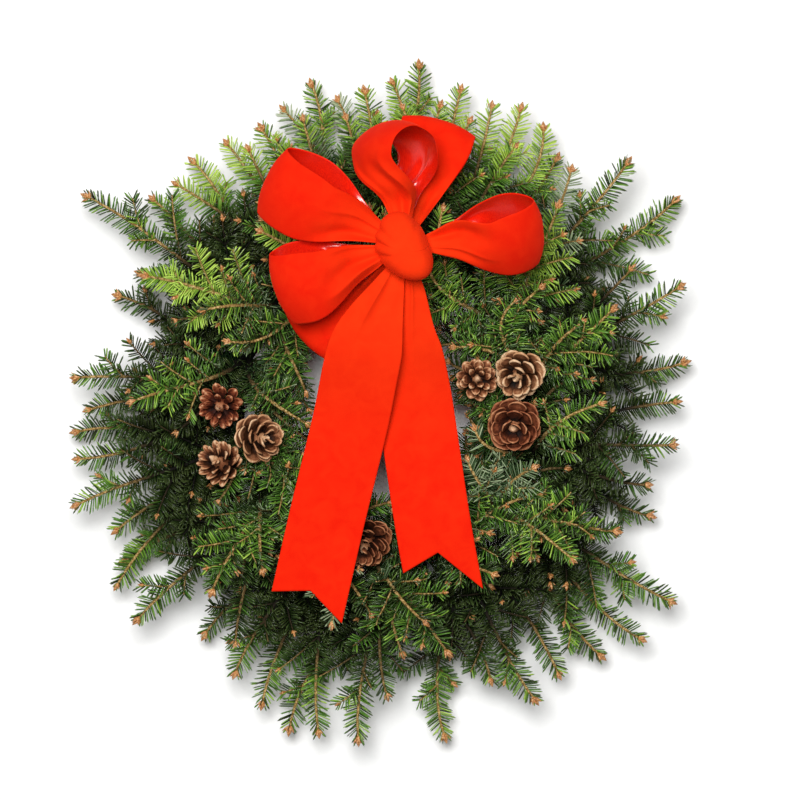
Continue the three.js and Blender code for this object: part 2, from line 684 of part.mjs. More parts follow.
function addSprays() {
  const sprays = [
    ...named('back_spray', BACK_SPRAYS),
    ...named('front_spray', FRONT_SPRAYS),
    ...named('inner_spray', INNER_SPRAYS),
  ].map((spray, i) => {
    const draw = seededDraw(FIRST_SEED + i);
    return { ...spray, stem: stemPath(spray), twigs: [], needles: [], draw };
  });
  for (const { name, stem } of sprays) occupy(stem, STEM_RADIUS + 0.5, name);
  for (const spray of sprays) growTwigs(spray);
  for (const spray of sprays) {
    for (const { a, b } of spray.twigs) growNeedles(spray, [a, b], 0.3);
    growNeedles(spray, spray.stem, 0.36);
  }
  for (const spray of sprays) {
    const isFresh = spray.habit === 'front' && (spray.clamp === 5 || spray.clamp === 1);
    addPiece(spray.name, sprayGeometry(spray), isFresh ? finishes.freshNeedles : finishes.needles);
  }
}

const crowded = new Set([...FRONT_SPRAYS, ...INNER_SPRAYS].map(({ clamp }) => clamp));
addPiece('clamp_ring', clampRing(crowded), finishes.steel);
occupyRing();
addBow();
addCones('right', RIGHT_CONES);
addCones('left', LEFT_CONES);
addCones('bottom', BOTTOM_CONES);
addSprays();

// Stand the wreath on z = 0 with its box centred on the Z axis.
const box = new THREE.Box3().setFromObject(wreath);
const middle = box.getCenter(new THREE.Vector3());
wreath.position.set(-middle.x, -middle.y, -box.min.z);

export default wreath;
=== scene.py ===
"""A fresh fir wreath with seven pine cones and a red velvet bow, laid on its back and seen from above.

The wreath is worked out in millimetres round the middle of its clamp ring, as its maker would, and each
piece is moved to the frame, in metres, when its mesh is written."""
import math

import bpy
import numpy as np
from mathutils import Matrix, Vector
from mathutils.bvhtree import BVHTree


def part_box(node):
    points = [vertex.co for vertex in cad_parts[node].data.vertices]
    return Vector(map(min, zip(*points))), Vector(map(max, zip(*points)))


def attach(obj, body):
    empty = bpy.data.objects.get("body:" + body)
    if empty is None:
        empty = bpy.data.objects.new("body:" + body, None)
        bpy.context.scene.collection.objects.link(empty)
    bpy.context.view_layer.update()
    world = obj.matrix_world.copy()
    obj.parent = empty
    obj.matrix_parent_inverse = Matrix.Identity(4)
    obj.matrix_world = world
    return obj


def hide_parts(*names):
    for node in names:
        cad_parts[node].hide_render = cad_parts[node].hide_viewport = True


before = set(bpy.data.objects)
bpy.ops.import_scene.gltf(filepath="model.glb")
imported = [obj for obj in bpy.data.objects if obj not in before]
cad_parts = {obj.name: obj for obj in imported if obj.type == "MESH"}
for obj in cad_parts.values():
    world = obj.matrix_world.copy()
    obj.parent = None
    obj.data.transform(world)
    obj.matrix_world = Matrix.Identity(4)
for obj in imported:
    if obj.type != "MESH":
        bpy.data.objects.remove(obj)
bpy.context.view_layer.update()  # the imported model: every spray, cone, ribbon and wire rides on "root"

# ---------------- sizes, millimetres
MM = 0.001
ring_low, ring_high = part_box("clamp_ring")
RING_MIDDLE = np.array([(ring_low.x + ring_high.x) / 2, (ring_low.y + ring_high.y) / 2, 0.0])

RING_RADIUS = 127.0
RING_WIRE = 4.0
CLAMP_COUNT = 14
CLAMP_STEP = 360 / CLAMP_COUNT
CLAMP_HALF_WIDTH = 5.0
CLAMP_FLOOR = 5.6
CLAMP_WIRE = 1.15
SEAT_GAP = 0.3

STEM_RADIUS = 3.0
STEM_TIP_RADIUS = 1.1
STEM_STUB = 10.0
STEM_FLAT = 2.1  # from a stem's middle to the flat that it lies on
TWIG_RADIUS = 0.95
TWIG_TIP_RADIUS = 0.6
NEEDLE_LENGTH = 14.3
NEEDLE_WIDTH = 1.5
NEEDLE_DEPTH = 0.75
NEEDLES_PER_MM = 1.2
SHADE_SPREAD = 0.17  # how unlike the greens of one twig's needles are

RIBBON_WIDTH = 63.5
RIBBON_THICKNESS = 0.7
GATHER = 0.37  # half the ribbon's width over the distance from the knot, while it fans out
NECK_START = 11.0
NECK_HALF = 4.6
KNOT_REACH = 34.0
UPPER_NECKS = 150.0
LOWER_NECKS = 139.0
KNOT = np.array([14.8, 136.6, 0.0])
KNOT_HEIGHT = 25.0
# The knot's outline from above: degrees and distance from its middle.
KNOT_OUTLINE = [
    (0, 20.0), (27, 19), (50, 21.5), (74, 26), (94, 30.5), (112, 31.5), (130, 30), (155, 26.5), (174, 27),
    (209, 24), (241, 24), (276, 29), (304, 34.5), (323, 30.5), (340, 24.5),
]
# Its creases: the angle that each is at, how deep and how wide it is.
KNOT_CREASES = [(2.55, 0.09, 0.13), (3.0, 0.14, 0.11), (3.5, 0.1, 0.13), (1.15, 0.06, 0.2)]
KNOT_FLOOR = UPPER_NECKS + NECK_HALF + 1.3
ORANGE_ON_LOOPS = 96.0  # how far from the knot the velvet is painted more orange, a painted highlight
ORANGE_ON_TAILS = 210.0
WIRE_RADIUS = 1.2

UP = np.array([0.0, 0.0, 1.0])
ACROSS = np.array([0.0, 1.0, 0.0])

# A stem's place in a clamp: outwards from the ring's wire, and the height of its middle.
SEATS = {"outer": (2.4, 8.0), "inner": (-2.4, 8.0), "top": (0.0, 13.4)}

# How each kind of spray leaves its clamp and arrives at its tip.
HABITS = {
    "low": dict(heading=10, lift=4, arch=4, start=0.28, finish=0.42),
    "high": dict(heading=10, lift=7, arch=21, start=0.26, finish=0.42),
    "front": dict(heading=22, lift=46, arch=16, start=0.24, finish=0.4),
    "inner": dict(heading=118, lift=40, arch=18, start=0.3, finish=0.34),
}

# Each spray that the model holds: clamp, seat, habit, its tip as degrees, distance and height, and how
# fresh its green is. Every clamp has two back sprays, a low one in its outer seat and a high one in its
# inner seat.
BACK_TIPS = [
    (((9, 256, 28), 0.30), ((22.8, 269, 54), 0.38)),
    (((36, 303, 26), 0.34), ((45.8, 292, 60), 0.36)),
    (((56, 258, 24), 0.55), ((66, 279, 52), 0.86)),
    (((84.7, 294, 26), 0.48), ((94, 270, 58), 0.60)),
    (((103, 284, 24), 0.52), ((114, 261, 52), 0.62)),
    (((128, 268, 26), 0.80), ((144.6, 312, 46), 0.30)),
    (((157, 248, 26), 0.22), ((174, 264, 56), 0.28)),
    (((184, 265, 24), 0.24), ((197, 275, 52), 0.36)),
    (((210, 258, 26), 0.44), ((220, 276, 50), 0.34)),
    (((231, 246, 24), 0.30), ((240, 257, 52), 0.36)),
    (((253, 284, 26), 0.30), ((265, 280, 52), 0.36)),
    (((280, 282, 24), 0.44), ((297, 275, 54), 0.34)),
    (((311, 277, 26), 0.28), ((326, 290, 46), 0.34)),
    (((338, 241, 26), 0.26), ((353, 243, 56), 0.38)),
]
BACK_SPRAYS = [
    (clamp, seat, habit, *tip)
    for clamp, tips in enumerate(BACK_TIPS)
    for seat, habit, tip in zip(("outer", "inner"), ("low", "high"), tips)
]
FRONT_SPRAYS = [
    (0, "top", "front", (24, 208, 84), 0.37), (1, "top", "front", (50, 224, 88), 0.58),
    (5, "top", "front", (151, 232, 92), 0.72), (6, "top", "front", (178, 214, 88), 0.36),
    (8, "top", "front", (226, 212, 84), 0.30), (10, "top", "front", (284, 210, 78), 0.33),
    (12, "top", "front", (332, 218, 86), 0.32),
]
INNER_SPRAYS = [
    (7, "top", "inner", (208, 80, 62), 0.42), (9, "top", "inner", (262, 80, 64), 0.34),
    (11, "top", "inner", (308, 80, 64), 0.38), (13, "top", "inner", (358, 80, 50), 0.42),
]
FIRST_SEED = 101  # the model's own, one more for each spray
FIRST_FILLER_SEED = 400
FILLER_LAYOUT_SEED = 29
# Side twigs in pairs: how far along the stem, their length over the stem's, and their angle to it.
TWIG_PAIRS = [(0.44, 0.34, 47), (0.66, 0.25, 44)]
# Finer side twigs that only the eye needs.
FINE_TWIG_PAIRS = [(0.56, 0.2, 47), (0.8, 0.12, 42)]
UPRIGHT_SHARE = 0.3  # of the finer twigs, that stand up from the stem
SILVER_SHARE = 0.14  # of the filling sprays, that lie with their silver side up
BUDDED_SHARE = 0.4  # of the side twigs, that end in buds
# How the buds round a twig's end bud lean: to the side and to the face.
BUD_LEANS = [(-1, 0.1), (1, 0.1), (-0.3, 0.9), (0.5, -0.6), (0.6, 0.7), (-0.7, 0.5), (0.2, 0.6)]
LONG_TWIG = 62.0  # a side twig longer than this has shorter twigs of its own

# Where the inner foliage's painted shade starts to lift and where it is gone: by height, and by
# distance from the ring's middle.
PAINTED_LIGHT_HEIGHTS = (46, 92)
PAINTED_LIGHT_DISTANCES = (200, 254)

# The rest of the tips that stand out of the wreath's outline: degrees, distance, height and freshness.
OUTLINE_TIPS = [
    (1.6, 246, 40, 0.30), (30, 240, 44, 0.36), (52.5, 256, 66, 0.50), (61, 274, 40, 0.78),
    (71, 272, 58, 0.72), (77, 279, 44, 0.66), (89, 278, 40, 0.66), (99, 266, 48, 0.5), (109, 270, 40, 0.58),
    (121, 264, 46, 0.84), (133, 262, 44, 0.74), (138, 268, 30, 0.42), (151, 240, 40, 0.24),
    (180, 254, 34, 0.26), (189, 266, 40, 0.30), (204, 252, 42, 0.40), (213, 274, 34, 0.42),
    (237, 236, 60, 0.30), (247, 272, 36, 0.36), (258, 280, 40, 0.40), (270, 242, 60, 0.40),
    (291, 246, 48, 0.34), (303, 268, 38, 0.30), (318, 291, 40, 0.36), (344, 230, 50, 0.30),
    (64, 248, 60, 0.70), (74, 254, 64, 0.62), (80, 262, 56, 0.60), (87, 256, 62, 0.60), (92, 250, 58, 0.62),
    (98, 250, 60, 0.56), (106, 256, 60, 0.58), (112, 248, 56, 0.60), (118, 250, 60, 0.74),
]

# Tips that lean in towards the tails: clamp, degrees, distance and height.
BESIDE_TAILS = [
    (5, 168, 70, 72), (5, 180, 66, 60), (6, 190, 68, 84), (6, 203, 70, 60), (7, 216, 74, 82),
    (8, 228, 78, 70), (11, 318, 78, 70), (12, 328, 80, 84), (12, 338, 78, 60), (13, 348, 76, 84),
    (0, 358, 84, 60),
    (13, 356, 70, 62), (13, 4, 70, 54), (13, 11, 64, 60), (0, 16, 66, 64), (0, 25, 62, 60), (0, 38, 66, 62),
    (12, 344, 70, 56), (1, 52, 70, 66),
]

# Cones: the stalk end's place, the axis towards the tip, the width, the length, and the wood's make:
# how many scales, how broad they are, how pointed, how far they stand open, how rosy and how bleached.
CONES = {
    "right_cone_1": ((75, 25, 72), (0.05, 0.06, 1), 35, 36, (25, 0.78, 0.7, 0.8, 0.45, 0.4)),
    "right_cone_2": ((116, 36, 72), (-0.24, -0.3, 0.9), 42, 46, (28, 1.0, 0.3, 0.62, 0.15, 0.85)),
    "right_cone_3": ((108, -8, 70), (-0.06, -0.26, 0.95), 46, 42, (25, 1.16, 0.1, 0.6, 0.8, 0.1)),
    "left_cone_1": ((-138, 6, 70), (-0.12, -0.14, 0.97), 38, 40, (25, 0.54, 0.2, 0.9, 1.0, 0.0)),
    "left_cone_2": ((-118, -24, 74), (0.55, 0.02, 0.8), 42, 42, (29, 1.02, 0.3, 0.5, 0.2, 0.5)),
    "left_cone_3": ((-132, -50, 70), (-0.52, 0.34, 0.78), 38, 40, (34, 0.62, 0.5, 0.9, 0.4, 0.5)),
    "bottom_cone": ((-15, -102, 56), (-0.16, -0.5, 0.85), 44, 44, (38, 0.84, 0.1, 0.56, 0.6, 0.0)),
}
GOLDEN_ANGLE = 137.508  # from one scale to the next
CONE_WIRE_FORK = 34.0  # height over its foot where a wire parts to its cones
CONE_WIRE_FEET = {"right": -9, "left": 194, "bottom": 270}  # degrees round the ring
TIE_FOOT = 96

# The bow's loops: heading, reach, belly, climb (by how much, from where, to where), roll and level.
BOW_LOOPS = {
    "upper_left": (153.5, 122, 38, (-1, 34, 90), -26, UPPER_NECKS),
    "lower_left": (199.5, 108, 36, (3, 34, 90), -19, UPPER_NECKS),
    "back_left": (224, 110, 20, (-29, 14, 56), 0, LOWER_NECKS),
    "top": (96, 98, 50, (10, 34, 90), -55, UPPER_NECKS),
    "back_top": (74, 105, 21, (-28, 14, 52), 0, LOWER_NECKS),
    "right": (6.5, 110, 33, (-1, 34, 90), 40, UPPER_NECKS),
}
# The tails' middle lines, and how far each end's left corner, notch and right corner stand past the line.
TAILS = {
    "left": (
        [(11.3, 125.1, 145.4), (2, 103, 149), (-16, 57, 142), (-31, -12, 119), (-50, -90, 112),
         (-66, -160, 108)],
        (-1, -9, 12),
    ),
    "right": (
        [(16.3, 124.6, 143.4), (18, 101, 141), (15, 58, 130), (24, 2, 110), (39, -98, 106),
         (47, -142, 104)],
        (-11, -23, 14),
    ),
}
# The wreath's open middle and the slots of daylight beside and between the tails.
OPEN_SPACES = [
    ((-46, -46, -8), (46, 46, 98)),
    ((59, -14, -8), (64, 3, 132)),
    ((-60, 36, -8), (-54.4, 53, 132)),
    ((-5.9, -62, -8), (-1.4, -49, 132)),
]


# ---------------- small tools
def mixed(a, b, share):
    return a + (b - a) * share


def smooth(value, low, high):
    share = np.clip((np.asarray(value, float) - low) / (high - low), 0, 1)
    return share * share * (3 - 2 * share)


def unit(v):
    v = np.asarray(v, float)
    return v / np.maximum(np.linalg.norm(v, axis=-1, keepdims=True), 1e-9)


def polar(degrees, radius, height):
    a = math.radians(degrees)
    return np.array([radius * math.cos(a), radius * math.sin(a), height])


def turned(points, degrees):
    """The points turned round the Z axis."""
    c, s = math.cos(math.radians(degrees)), math.sin(math.radians(degrees))
    x, y, z = np.moveaxis(np.asarray(points, float), -1, 0)
    return np.stack([c * x - s * y, s * x + c * y, z], -1)


def seeded_draw(seed):
    """The same draws as the part's source makes, so that the twigs grow where the model's are."""
    state = seed

    def draw():
        nonlocal state
        state = (state * 1664525 + 1013904223) & 0xFFFFFFFF
        return (state >> 8) / 16777216

    return draw


def path_length(points):
    return float(np.linalg.norm(np.diff(points, axis=0), axis=1).sum())


def along_path(points, shares):
    """Places and directions at shares of the path's length."""
    steps = np.linalg.norm(np.diff(points, axis=0), axis=1)
    at = np.concatenate([[0], np.cumsum(steps)]) / steps.sum()

    def places(wanted):
        return np.stack([np.interp(wanted, at, points[:, k]) for k in range(3)], -1)

    return places(shares), unit(places(np.minimum(shares + 0.01, 1)) - places(np.maximum(shares - 0.01, 0)))


def frames_along(points, first_up):
    """Forward, up and side directions at each point, turned as little as possible on the way."""
    forward = unit(np.gradient(points, axis=0))
    ups = []
    up = np.asarray(first_up, float)
    for way in forward:
        up = unit(up - way * up.dot(way))
        ups.append(up)
    up = np.array(ups)
    return forward, up, np.cross(forward, up)


def bezier(a, b, c, d, steps):
    t = np.linspace(0, 1, steps + 1)[:, None]
    return a * (1 - t) ** 3 + 3 * b * t * (1 - t) ** 2 + 3 * c * t * t * (1 - t) + d * t ** 3


def catmull_rom(points, samples):
    """Evenly spaced places and directions on a centripetal curve through the points."""
    p = np.array(points, float)
    p = np.concatenate([[2 * p[0] - p[1]], p, [2 * p[-1] - p[-2]]])
    dense = []
    t = np.linspace(0, 1, 60, endpoint=False)[:, None]
    for p0, p1, p2, p3 in zip(p, p[1:], p[2:], p[3:]):
        d0, d1, d2 = (max(np.linalg.norm(b - a), 1e-4) ** 0.5 for a, b in ((p0, p1), (p1, p2), (p2, p3)))
        m1 = ((p1 - p0) / d0 - (p2 - p0) / (d0 + d1) + (p2 - p1) / d1) * d1
        m2 = ((p2 - p1) / d1 - (p3 - p1) / (d1 + d2) + (p3 - p2) / d2) * d1
        dense.append(p1 + m1 * t + (3 * (p2 - p1) - 2 * m1 - m2) * t ** 2
                     + (2 * (p1 - p2) + m1 + m2) * t ** 3)
    dense = np.concatenate(dense + [p[-2:-1]])
    return along_path(dense, np.linspace(0, 1, samples))


def softly_least(a, b, blend):
    """The smaller of two sizes, rounded over where they meet."""
    return -blend * np.log(np.exp(-a / blend) + np.exp(-b / blend))


def ripple(*phases):
    """A soft wave of mixed lengths between -1 and 1."""
    return sum(np.sin(phase) for phase in phases) / len(phases)


# ---------------- meshes
def new_object(name, data):
    made = bpy.data.objects.new(name, data)
    bpy.context.scene.collection.objects.link(made)
    return made


class Bundle:
    """Triangles of one piece, gathered from its leaves, twigs or scales, with the finish of each and
    up to two numbers at each corner that its materials read."""

    def __init__(self):
        self.parts = []
        self.count = 0

    def add(self, corners, triangles, finish, tone, share):
        corners = np.asarray(corners, float).reshape(-1, 3)
        triangles = np.asarray(triangles, int).reshape(-1, 3)
        finish = np.broadcast_to(finish, len(triangles))
        tone, share = (np.broadcast_to(numbers, len(corners)) for numbers in (tone, share))
        self.parts.append((corners, triangles + self.count, finish, tone, share))
        self.count += len(corners)

    def write(self, name, slot, materials, replaced=()):
        corners, triangles, finishes, tones, shares = map(np.concatenate, zip(*self.parts))
        corners = corners * MM + RING_MIDDLE
        mesh = bpy.data.meshes.new(name)
        mesh.vertices.add(len(corners))
        mesh.vertices.foreach_set("co", corners.astype(np.float32).ravel())
        mesh.loops.add(triangles.size)
        mesh.loops.foreach_set("vertex_index", triangles.astype(np.int32).ravel())
        mesh.polygons.add(len(triangles))
        mesh.polygons.foreach_set("loop_start", np.arange(0, triangles.size, 3, dtype=np.int32))
        mesh.polygons.foreach_set("material_index", finishes.astype(np.int32))
        mesh.polygons.foreach_set("use_smooth", np.ones(len(triangles), bool))
        for label, values in (("tone", tones), ("share", shares)):
            numbers = mesh.attributes.new(label, "FLOAT", "POINT")
            numbers.data.foreach_set("value", values.astype(np.float32))
        for material in materials:
            mesh.materials.append(material)
        mesh.update(calc_edges=True)
        mesh.validate()
        piece = new_object(name, mesh)
        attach(piece, "root")
        if replaced:
            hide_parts(*replaced)
        return piece


def add_tube(bundle, points, radii, finish, sides=8, first_up=UP, tone=0.0, share=None):
    """A rod with a blunt start and a rounded end. Unless given, its share runs from 0 to 1 along it."""
    points = np.asarray(points, float)
    radii = np.broadcast_to(np.asarray(radii, float), len(points))
    forward, up, side = frames_along(points, first_up)
    angles = np.arange(sides) * 2 * math.pi / sides
    spokes = side[:, None] * np.cos(angles)[None, :, None] + up[:, None] * np.sin(angles)[None, :, None]
    rings = (points[:, None] + spokes * radii[:, None, None]).reshape(-1, 3)
    start, end = points[0], points[-1] + forward[-1] * radii[-1] * 0.7
    k = np.arange(sides)
    following = (k + 1) % sides
    rows = (np.arange(len(points) - 1) * sides)[:, None]
    a, b = rows + k, rows + following
    c, d = b + sides, a + sides
    first, last = len(rings), len(rings) + 1
    top = (len(points) - 1) * sides
    triangles = np.concatenate([
        np.stack([a, d, c], -1).reshape(-1, 3),
        np.stack([a, c, b], -1).reshape(-1, 3),
        np.stack([np.full(sides, first), k, following], -1),
        np.stack([np.full(sides, last), top + following, top + k], -1),
    ])
    share = np.linspace(0, 1, len(points)) if share is None else share
    share = np.concatenate([np.repeat(share, sides), share[[0, -1]]])
    bundle.add(np.concatenate([rings, [start, end]]), triangles, finish, tone, share)


def grid_cells(along, across):
    """The four corners of each cell of a grid of points, as four rows of their numbers."""
    i, j = np.meshgrid(np.arange(along - 1), np.arange(across - 1), indexing="ij")
    a = (i * across + j).ravel()
    return a, a + 1, a + across + 1, a + across


def add_grid_solid(bundle, middle, thickness, front, back, rim, tone, share):
    """A sheet's grid of points given a thickness: a front face, a back face and a rim."""
    along, across = middle.shape[:2]
    normal = unit(np.cross(np.gradient(middle, axis=1), np.gradient(middle, axis=0)))
    half = np.broadcast_to(np.asarray(thickness, float) / 2, (along, across))[..., None]
    sheets = np.concatenate([middle + normal * half, middle - normal * half])
    a, b, c, d = grid_cells(along, across)
    other = along * across
    face = np.concatenate([np.stack([a, b, c], -1), np.stack([a, c, d], -1)])
    border = np.concatenate([
        np.arange(across),
        np.arange(1, along) * across + across - 1,
        (along - 1) * across + np.arange(across - 2, -1, -1),
        np.arange(along - 2, -1, -1) * across,
    ])
    p, q = border[:-1], border[1:]
    edge = np.concatenate([np.stack([p, p + other, q + other], -1), np.stack([p, q + other, q], -1)])
    triangles = np.concatenate([face, (face + other)[:, ::-1], edge])
    finish = np.concatenate([np.full(len(face), front), np.full(len(face), back), np.full(len(edge), rim)])
    bundle.add(sheets, triangles, finish, tone, share)


# ---------------- materials
def dyed(code):
    """A colour given as sRGB hex, turned to linear."""
    parts = [int(code[i:i + 2], 16) / 255 for i in (1, 3, 5)]
    return tuple(c / 12.92 if c <= 0.04045 else ((c + 0.055) / 1.055) ** 2.4 for c in parts) + (1.0,)


def add_node(tree, kind, settings):
    """One shader node. A setting is a property or a socket of it, and its value is a number, a colour's
    hex code or another node's output."""
    made = tree.nodes.new("ShaderNode" + kind)
    for name, value in settings.items():
        if isinstance(value, bpy.types.NodeSocket):
            tree.links.new(value, made.inputs[name])
        elif isinstance(name, str) and hasattr(made, name):
            setattr(made, name, value)
        else:
            made.inputs[name].default_value = dyed(value) if isinstance(value, str) else value
    return made


def made_of(paint, **surface):
    """A material with these settings. The function paint adds its nodes and gives its colour and name."""
    material = bpy.data.materials.new(paint.__name__)
    material.use_nodes = True
    tree = material.node_tree
    shader = tree.nodes["Principled BSDF"]
    for socket, value in surface.items():
        shader.inputs[socket.replace("_", " ")].default_value = value
    tree.links.new(paint(tree), shader.inputs["Base Color"])
    return material


def ramp(tree, source, stops):
    """A colour ramp: places from 0 to 1 and their sRGB hex colours."""
    made = add_node(tree, "ValToRGB", {"Fac": source})
    elements = made.color_ramp.elements
    while len(elements) < len(stops):
        elements.new(0.5)
    for element, (place, code) in zip(elements, stops):
        element.position = place
        element.color = dyed(code)
    return made.outputs["Color"]


def grain(tree, size_mm, detail=3.0, stretch=(1, 1, 1), distortion=0.0):
    """Noise whose blotches are about size_mm across, in the piece's own space."""
    place = add_node(tree, "TexCoord", {}).outputs["Object"]
    scaled = add_node(tree, "Mapping", {"Scale": stretch, "Vector": place}).outputs["Vector"]
    settings = {"Scale": 1 / (size_mm * MM), "Detail": detail, "Distortion": distortion, "Vector": scaled}
    return add_node(tree, "TexNoise", settings).outputs["Fac"]


def number(tree, label):
    """What the mesh's corners hold under this label."""
    return add_node(tree, "Attribute", {"attribute_name": label}).outputs["Fac"]


def calculated(tree, operation, a, b, clamp=False):
    return add_node(tree, "Math", {"operation": operation, "use_clamp": clamp, 0: a, 1: b}).outputs["Value"]


def swing(tree, noise, width):
    """The noise brought round 0, from half of width below it to half of width above."""
    return calculated(tree, "MULTIPLY", calculated(tree, "SUBTRACT", noise, 0.5), width)


def blended(tree, share, a, b):
    """Two colours mixed. The numbers are the sockets that a Mix node has for colours."""
    return add_node(tree, "Mix", {"data_type": "RGBA", 0: share, 6: a, 7: b}).outputs[2]


def raised(tree, height, depth_mm, strength):
    """Fine relief on the material's surface."""
    bump = add_node(tree, "Bump", {"Strength": strength, "Distance": depth_mm * MM, "Height": height})
    tree.links.new(bump.outputs["Normal"], tree.nodes["Principled BSDF"].inputs["Normal"])


def fir_needle_face(tree):
    """Waxy upper face of a fir needle: deep green, yellow-green when fresh, paler to its blunt tip, and
    darkened to near black by painted shade low inside the wreath.
    """
    blotch = swing(tree, grain(tree, 24, 2.0), 0.35)
    # tone is the needle's freshness times its painted shade; the ramp's near-black end is that painted shade
    fresh = calculated(tree, "ADD", number(tree, "tone"), blotch, clamp=True)
    green = ramp(tree, fresh, [
        (0.0, "#010301"), (0.2, "#15360f"), (0.42, "#528828"), (0.7, "#a8d04a"), (1.0, "#d2f26c"),
    ])
    tipward = calculated(tree, "MULTIPLY", number(tree, "share"), 0.2)
    return blended(tree, tipward, green, "#9db866")


def fir_needle_bands(tree):
    """Underside of a fir needle: two waxy breathing bands that read as silver-green."""
    # tone carries the painted shade as well, so the bands go near black low inside the wreath
    silver = ramp(tree, number(tree, "tone"), [
        (0.0, "#050803"), (0.16, "#3f5434"), (0.4, "#a3b48c"), (1.0, "#dfe9be"),
    ])
    return blended(tree, calculated(tree, "MULTIPLY", grain(tree, 1.1, 2.0), 0.5), silver, "#2c5424")


def fir_bark(tree):
    """Young fir bark: golden brown and finely cracked, green on fresh twigs, and darkened to near black by
    painted shade low inside the wreath.
    """
    cracks = grain(tree, 1.6, 4.0)
    tan = ramp(tree, cracks, [(0.32, "#3c2910"), (0.5, "#94713c"), (0.66, "#d4b47c")])
    greener = blended(tree, calculated(tree, "MULTIPLY", number(tree, "tone"), 0.5), tan, "#8d9a4c")
    raised(tree, cracks, 0.9, 0.9)
    # painted shade: share is 0 low inside the wreath, where the bark is painted near black
    return blended(tree, number(tree, "share"), "#0d0a05", greener)


def bud_resin(tree):
    """Winter bud: overlapping papery scales under a thin coat of resin, orange-brown."""
    scales = grain(tree, 1.2, 3.0)
    raised(tree, scales, 0.6, 0.8)
    return ramp(tree, scales, [(0.3, "#7a431a"), (0.5, "#ba7a3c"), (0.7, "#e9bc84")])


def cone_scale_wood(tree):
    """Dry woody cone scale: dark brown inside, with a pale weathered rim and a rough lengthwise grain."""
    fibre = grain(tree, 2.2, 5.0)
    weathered = calculated(tree, "ADD", number(tree, "share"), swing(tree, fibre, 0.5), clamp=True)
    grey = ramp(tree, weathered, [
        (0.0, "#0c0603"), (0.34, "#45260f"), (0.62, "#926040"), (0.84, "#c2946a"), (1.0, "#e2c09a"),
    ])
    rosy = ramp(tree, weathered, [
        (0.0, "#0c0302"), (0.34, "#451a0c"), (0.6, "#8a452a"), (0.82, "#b97a54"), (1.0, "#dfb18c"),
    ])
    raised(tree, fibre, 0.7, 0.7)
    return blended(tree, number(tree, "tone"), grey, rosy)


def ribbon_velvet(tree):
    """Flocked velvet: dense short pile, matt from straight above and glowing at grazing angles; round the
    knot it carries a painted highlight, more orange, that fades along the loops and tails."""
    brushed = grain(tree, 14, 3.0, distortion=0.6)
    red = ramp(tree, brushed, [(0.3, "#e61d05"), (0.7, "#ed2708")])
    pile = grain(tree, 0.9, 2.0)
    flecked = blended(tree, calculated(tree, "MULTIPLY", pile, 0.12), red, "#b40c02")
    raised(tree, pile, 0.25, 0.5)
    # painted highlight: the velvet is painted more orange near the knot
    return blended(tree, number(tree, "tone"), flecked, "#ff5a16")


def ribbon_satin(tree):
    """Satin back of the ribbon: smooth red acetate that takes a long bright highlight."""
    threads = grain(tree, 0.8, 2.0, stretch=(1, 0.15, 1))
    raised(tree, threads, 0.12, 0.4)
    return ramp(tree, threads, [(0.3, "#d61408"), (0.7, "#ee260c")])


def enamelled_wire(tree):
    """Steel wire dipped in dark green enamel: smooth, half glossy, rubbed through to grey in spots."""
    raised(tree, grain(tree, 1.5, 2.0), 0.1, 0.4)
    return ramp(tree, grain(tree, 5, 4.0), [(0.0, "#1d3320"), (0.66, "#22402a"), (0.8, "#6f746c")])


def studio_floor(tree):
    """Matt white paper, faintly mottled."""
    return ramp(tree, grain(tree, 3, 2.0), [(0.0, "#f6f6f5"), (1.0, "#fbfbfa")])


# The finishes of each kind of piece, in the order of its material slots.
NEEDLE_FACE, NEEDLE_BANDS, BARK, BUD = range(4)
FOLIAGE = [
    made_of(fir_needle_face, Roughness=0.25, Specular_IOR_Level=0.48),
    made_of(fir_needle_bands, Roughness=0.5, Specular_IOR_Level=0.15),
    made_of(fir_bark, Roughness=0.8, Specular_IOR_Level=0.2),
    made_of(bud_resin, Roughness=0.45, Coat_Weight=0.3, Coat_Roughness=0.25),
]
WOOD, STALK = range(2)
CONE_WOOD = [made_of(cone_scale_wood, Roughness=0.65, Specular_IOR_Level=0.18), FOLIAGE[BARK]]
VELVET, SATIN = range(2)
RIBBON = [
    made_of(ribbon_velvet, Roughness=0.9, Sheen_Weight=0.3, Sheen_Roughness=0.35,
            Sheen_Tint=dyed("#ff4a1e"), Specular_IOR_Level=0.06),
    made_of(ribbon_satin, Roughness=0.22, Specular_IOR_Level=0.55),
]
ENAMEL = 0
WIRE = [made_of(enamelled_wire, Roughness=0.38, Metallic=0.25, Coat_Weight=0.4)]


# ---------------- velvet bow
def knot_distance(points):
    """How far each point is from the middle of the knot, seen from above."""
    return np.hypot(points[..., 0] - KNOT[0], points[..., 1] - KNOT[1])


def ribbon_shares(along, across):
    """How far each point of a ribbon's grid is across it, from -1 to 1, and along it, from 0 to 1."""
    return np.linspace(-1, 1, across)[None, :], np.linspace(0, 1, along)[:, None]


def write_ribbon(part, middle, orange_reach=ORANGE_ON_LOOPS):
    """One ribbon piece. Its velvet gets a painted highlight, more orange at the knot, less and less as far as
    orange_reach.
    """
    # painted highlight mask, strongest at the knot
    painted_highlight = 0.2 * (1 - smooth(knot_distance(middle).ravel(), 24, orange_reach))
    bundle = Bundle()
    add_grid_solid(bundle, middle, RIBBON_THICKNESS, VELVET, SATIN, VELVET, np.tile(painted_highlight, 2), 0.0)
    piece = bundle.write("velvet_" + part, "red_velvet_ribbon", RIBBON, ["bow_" + part])


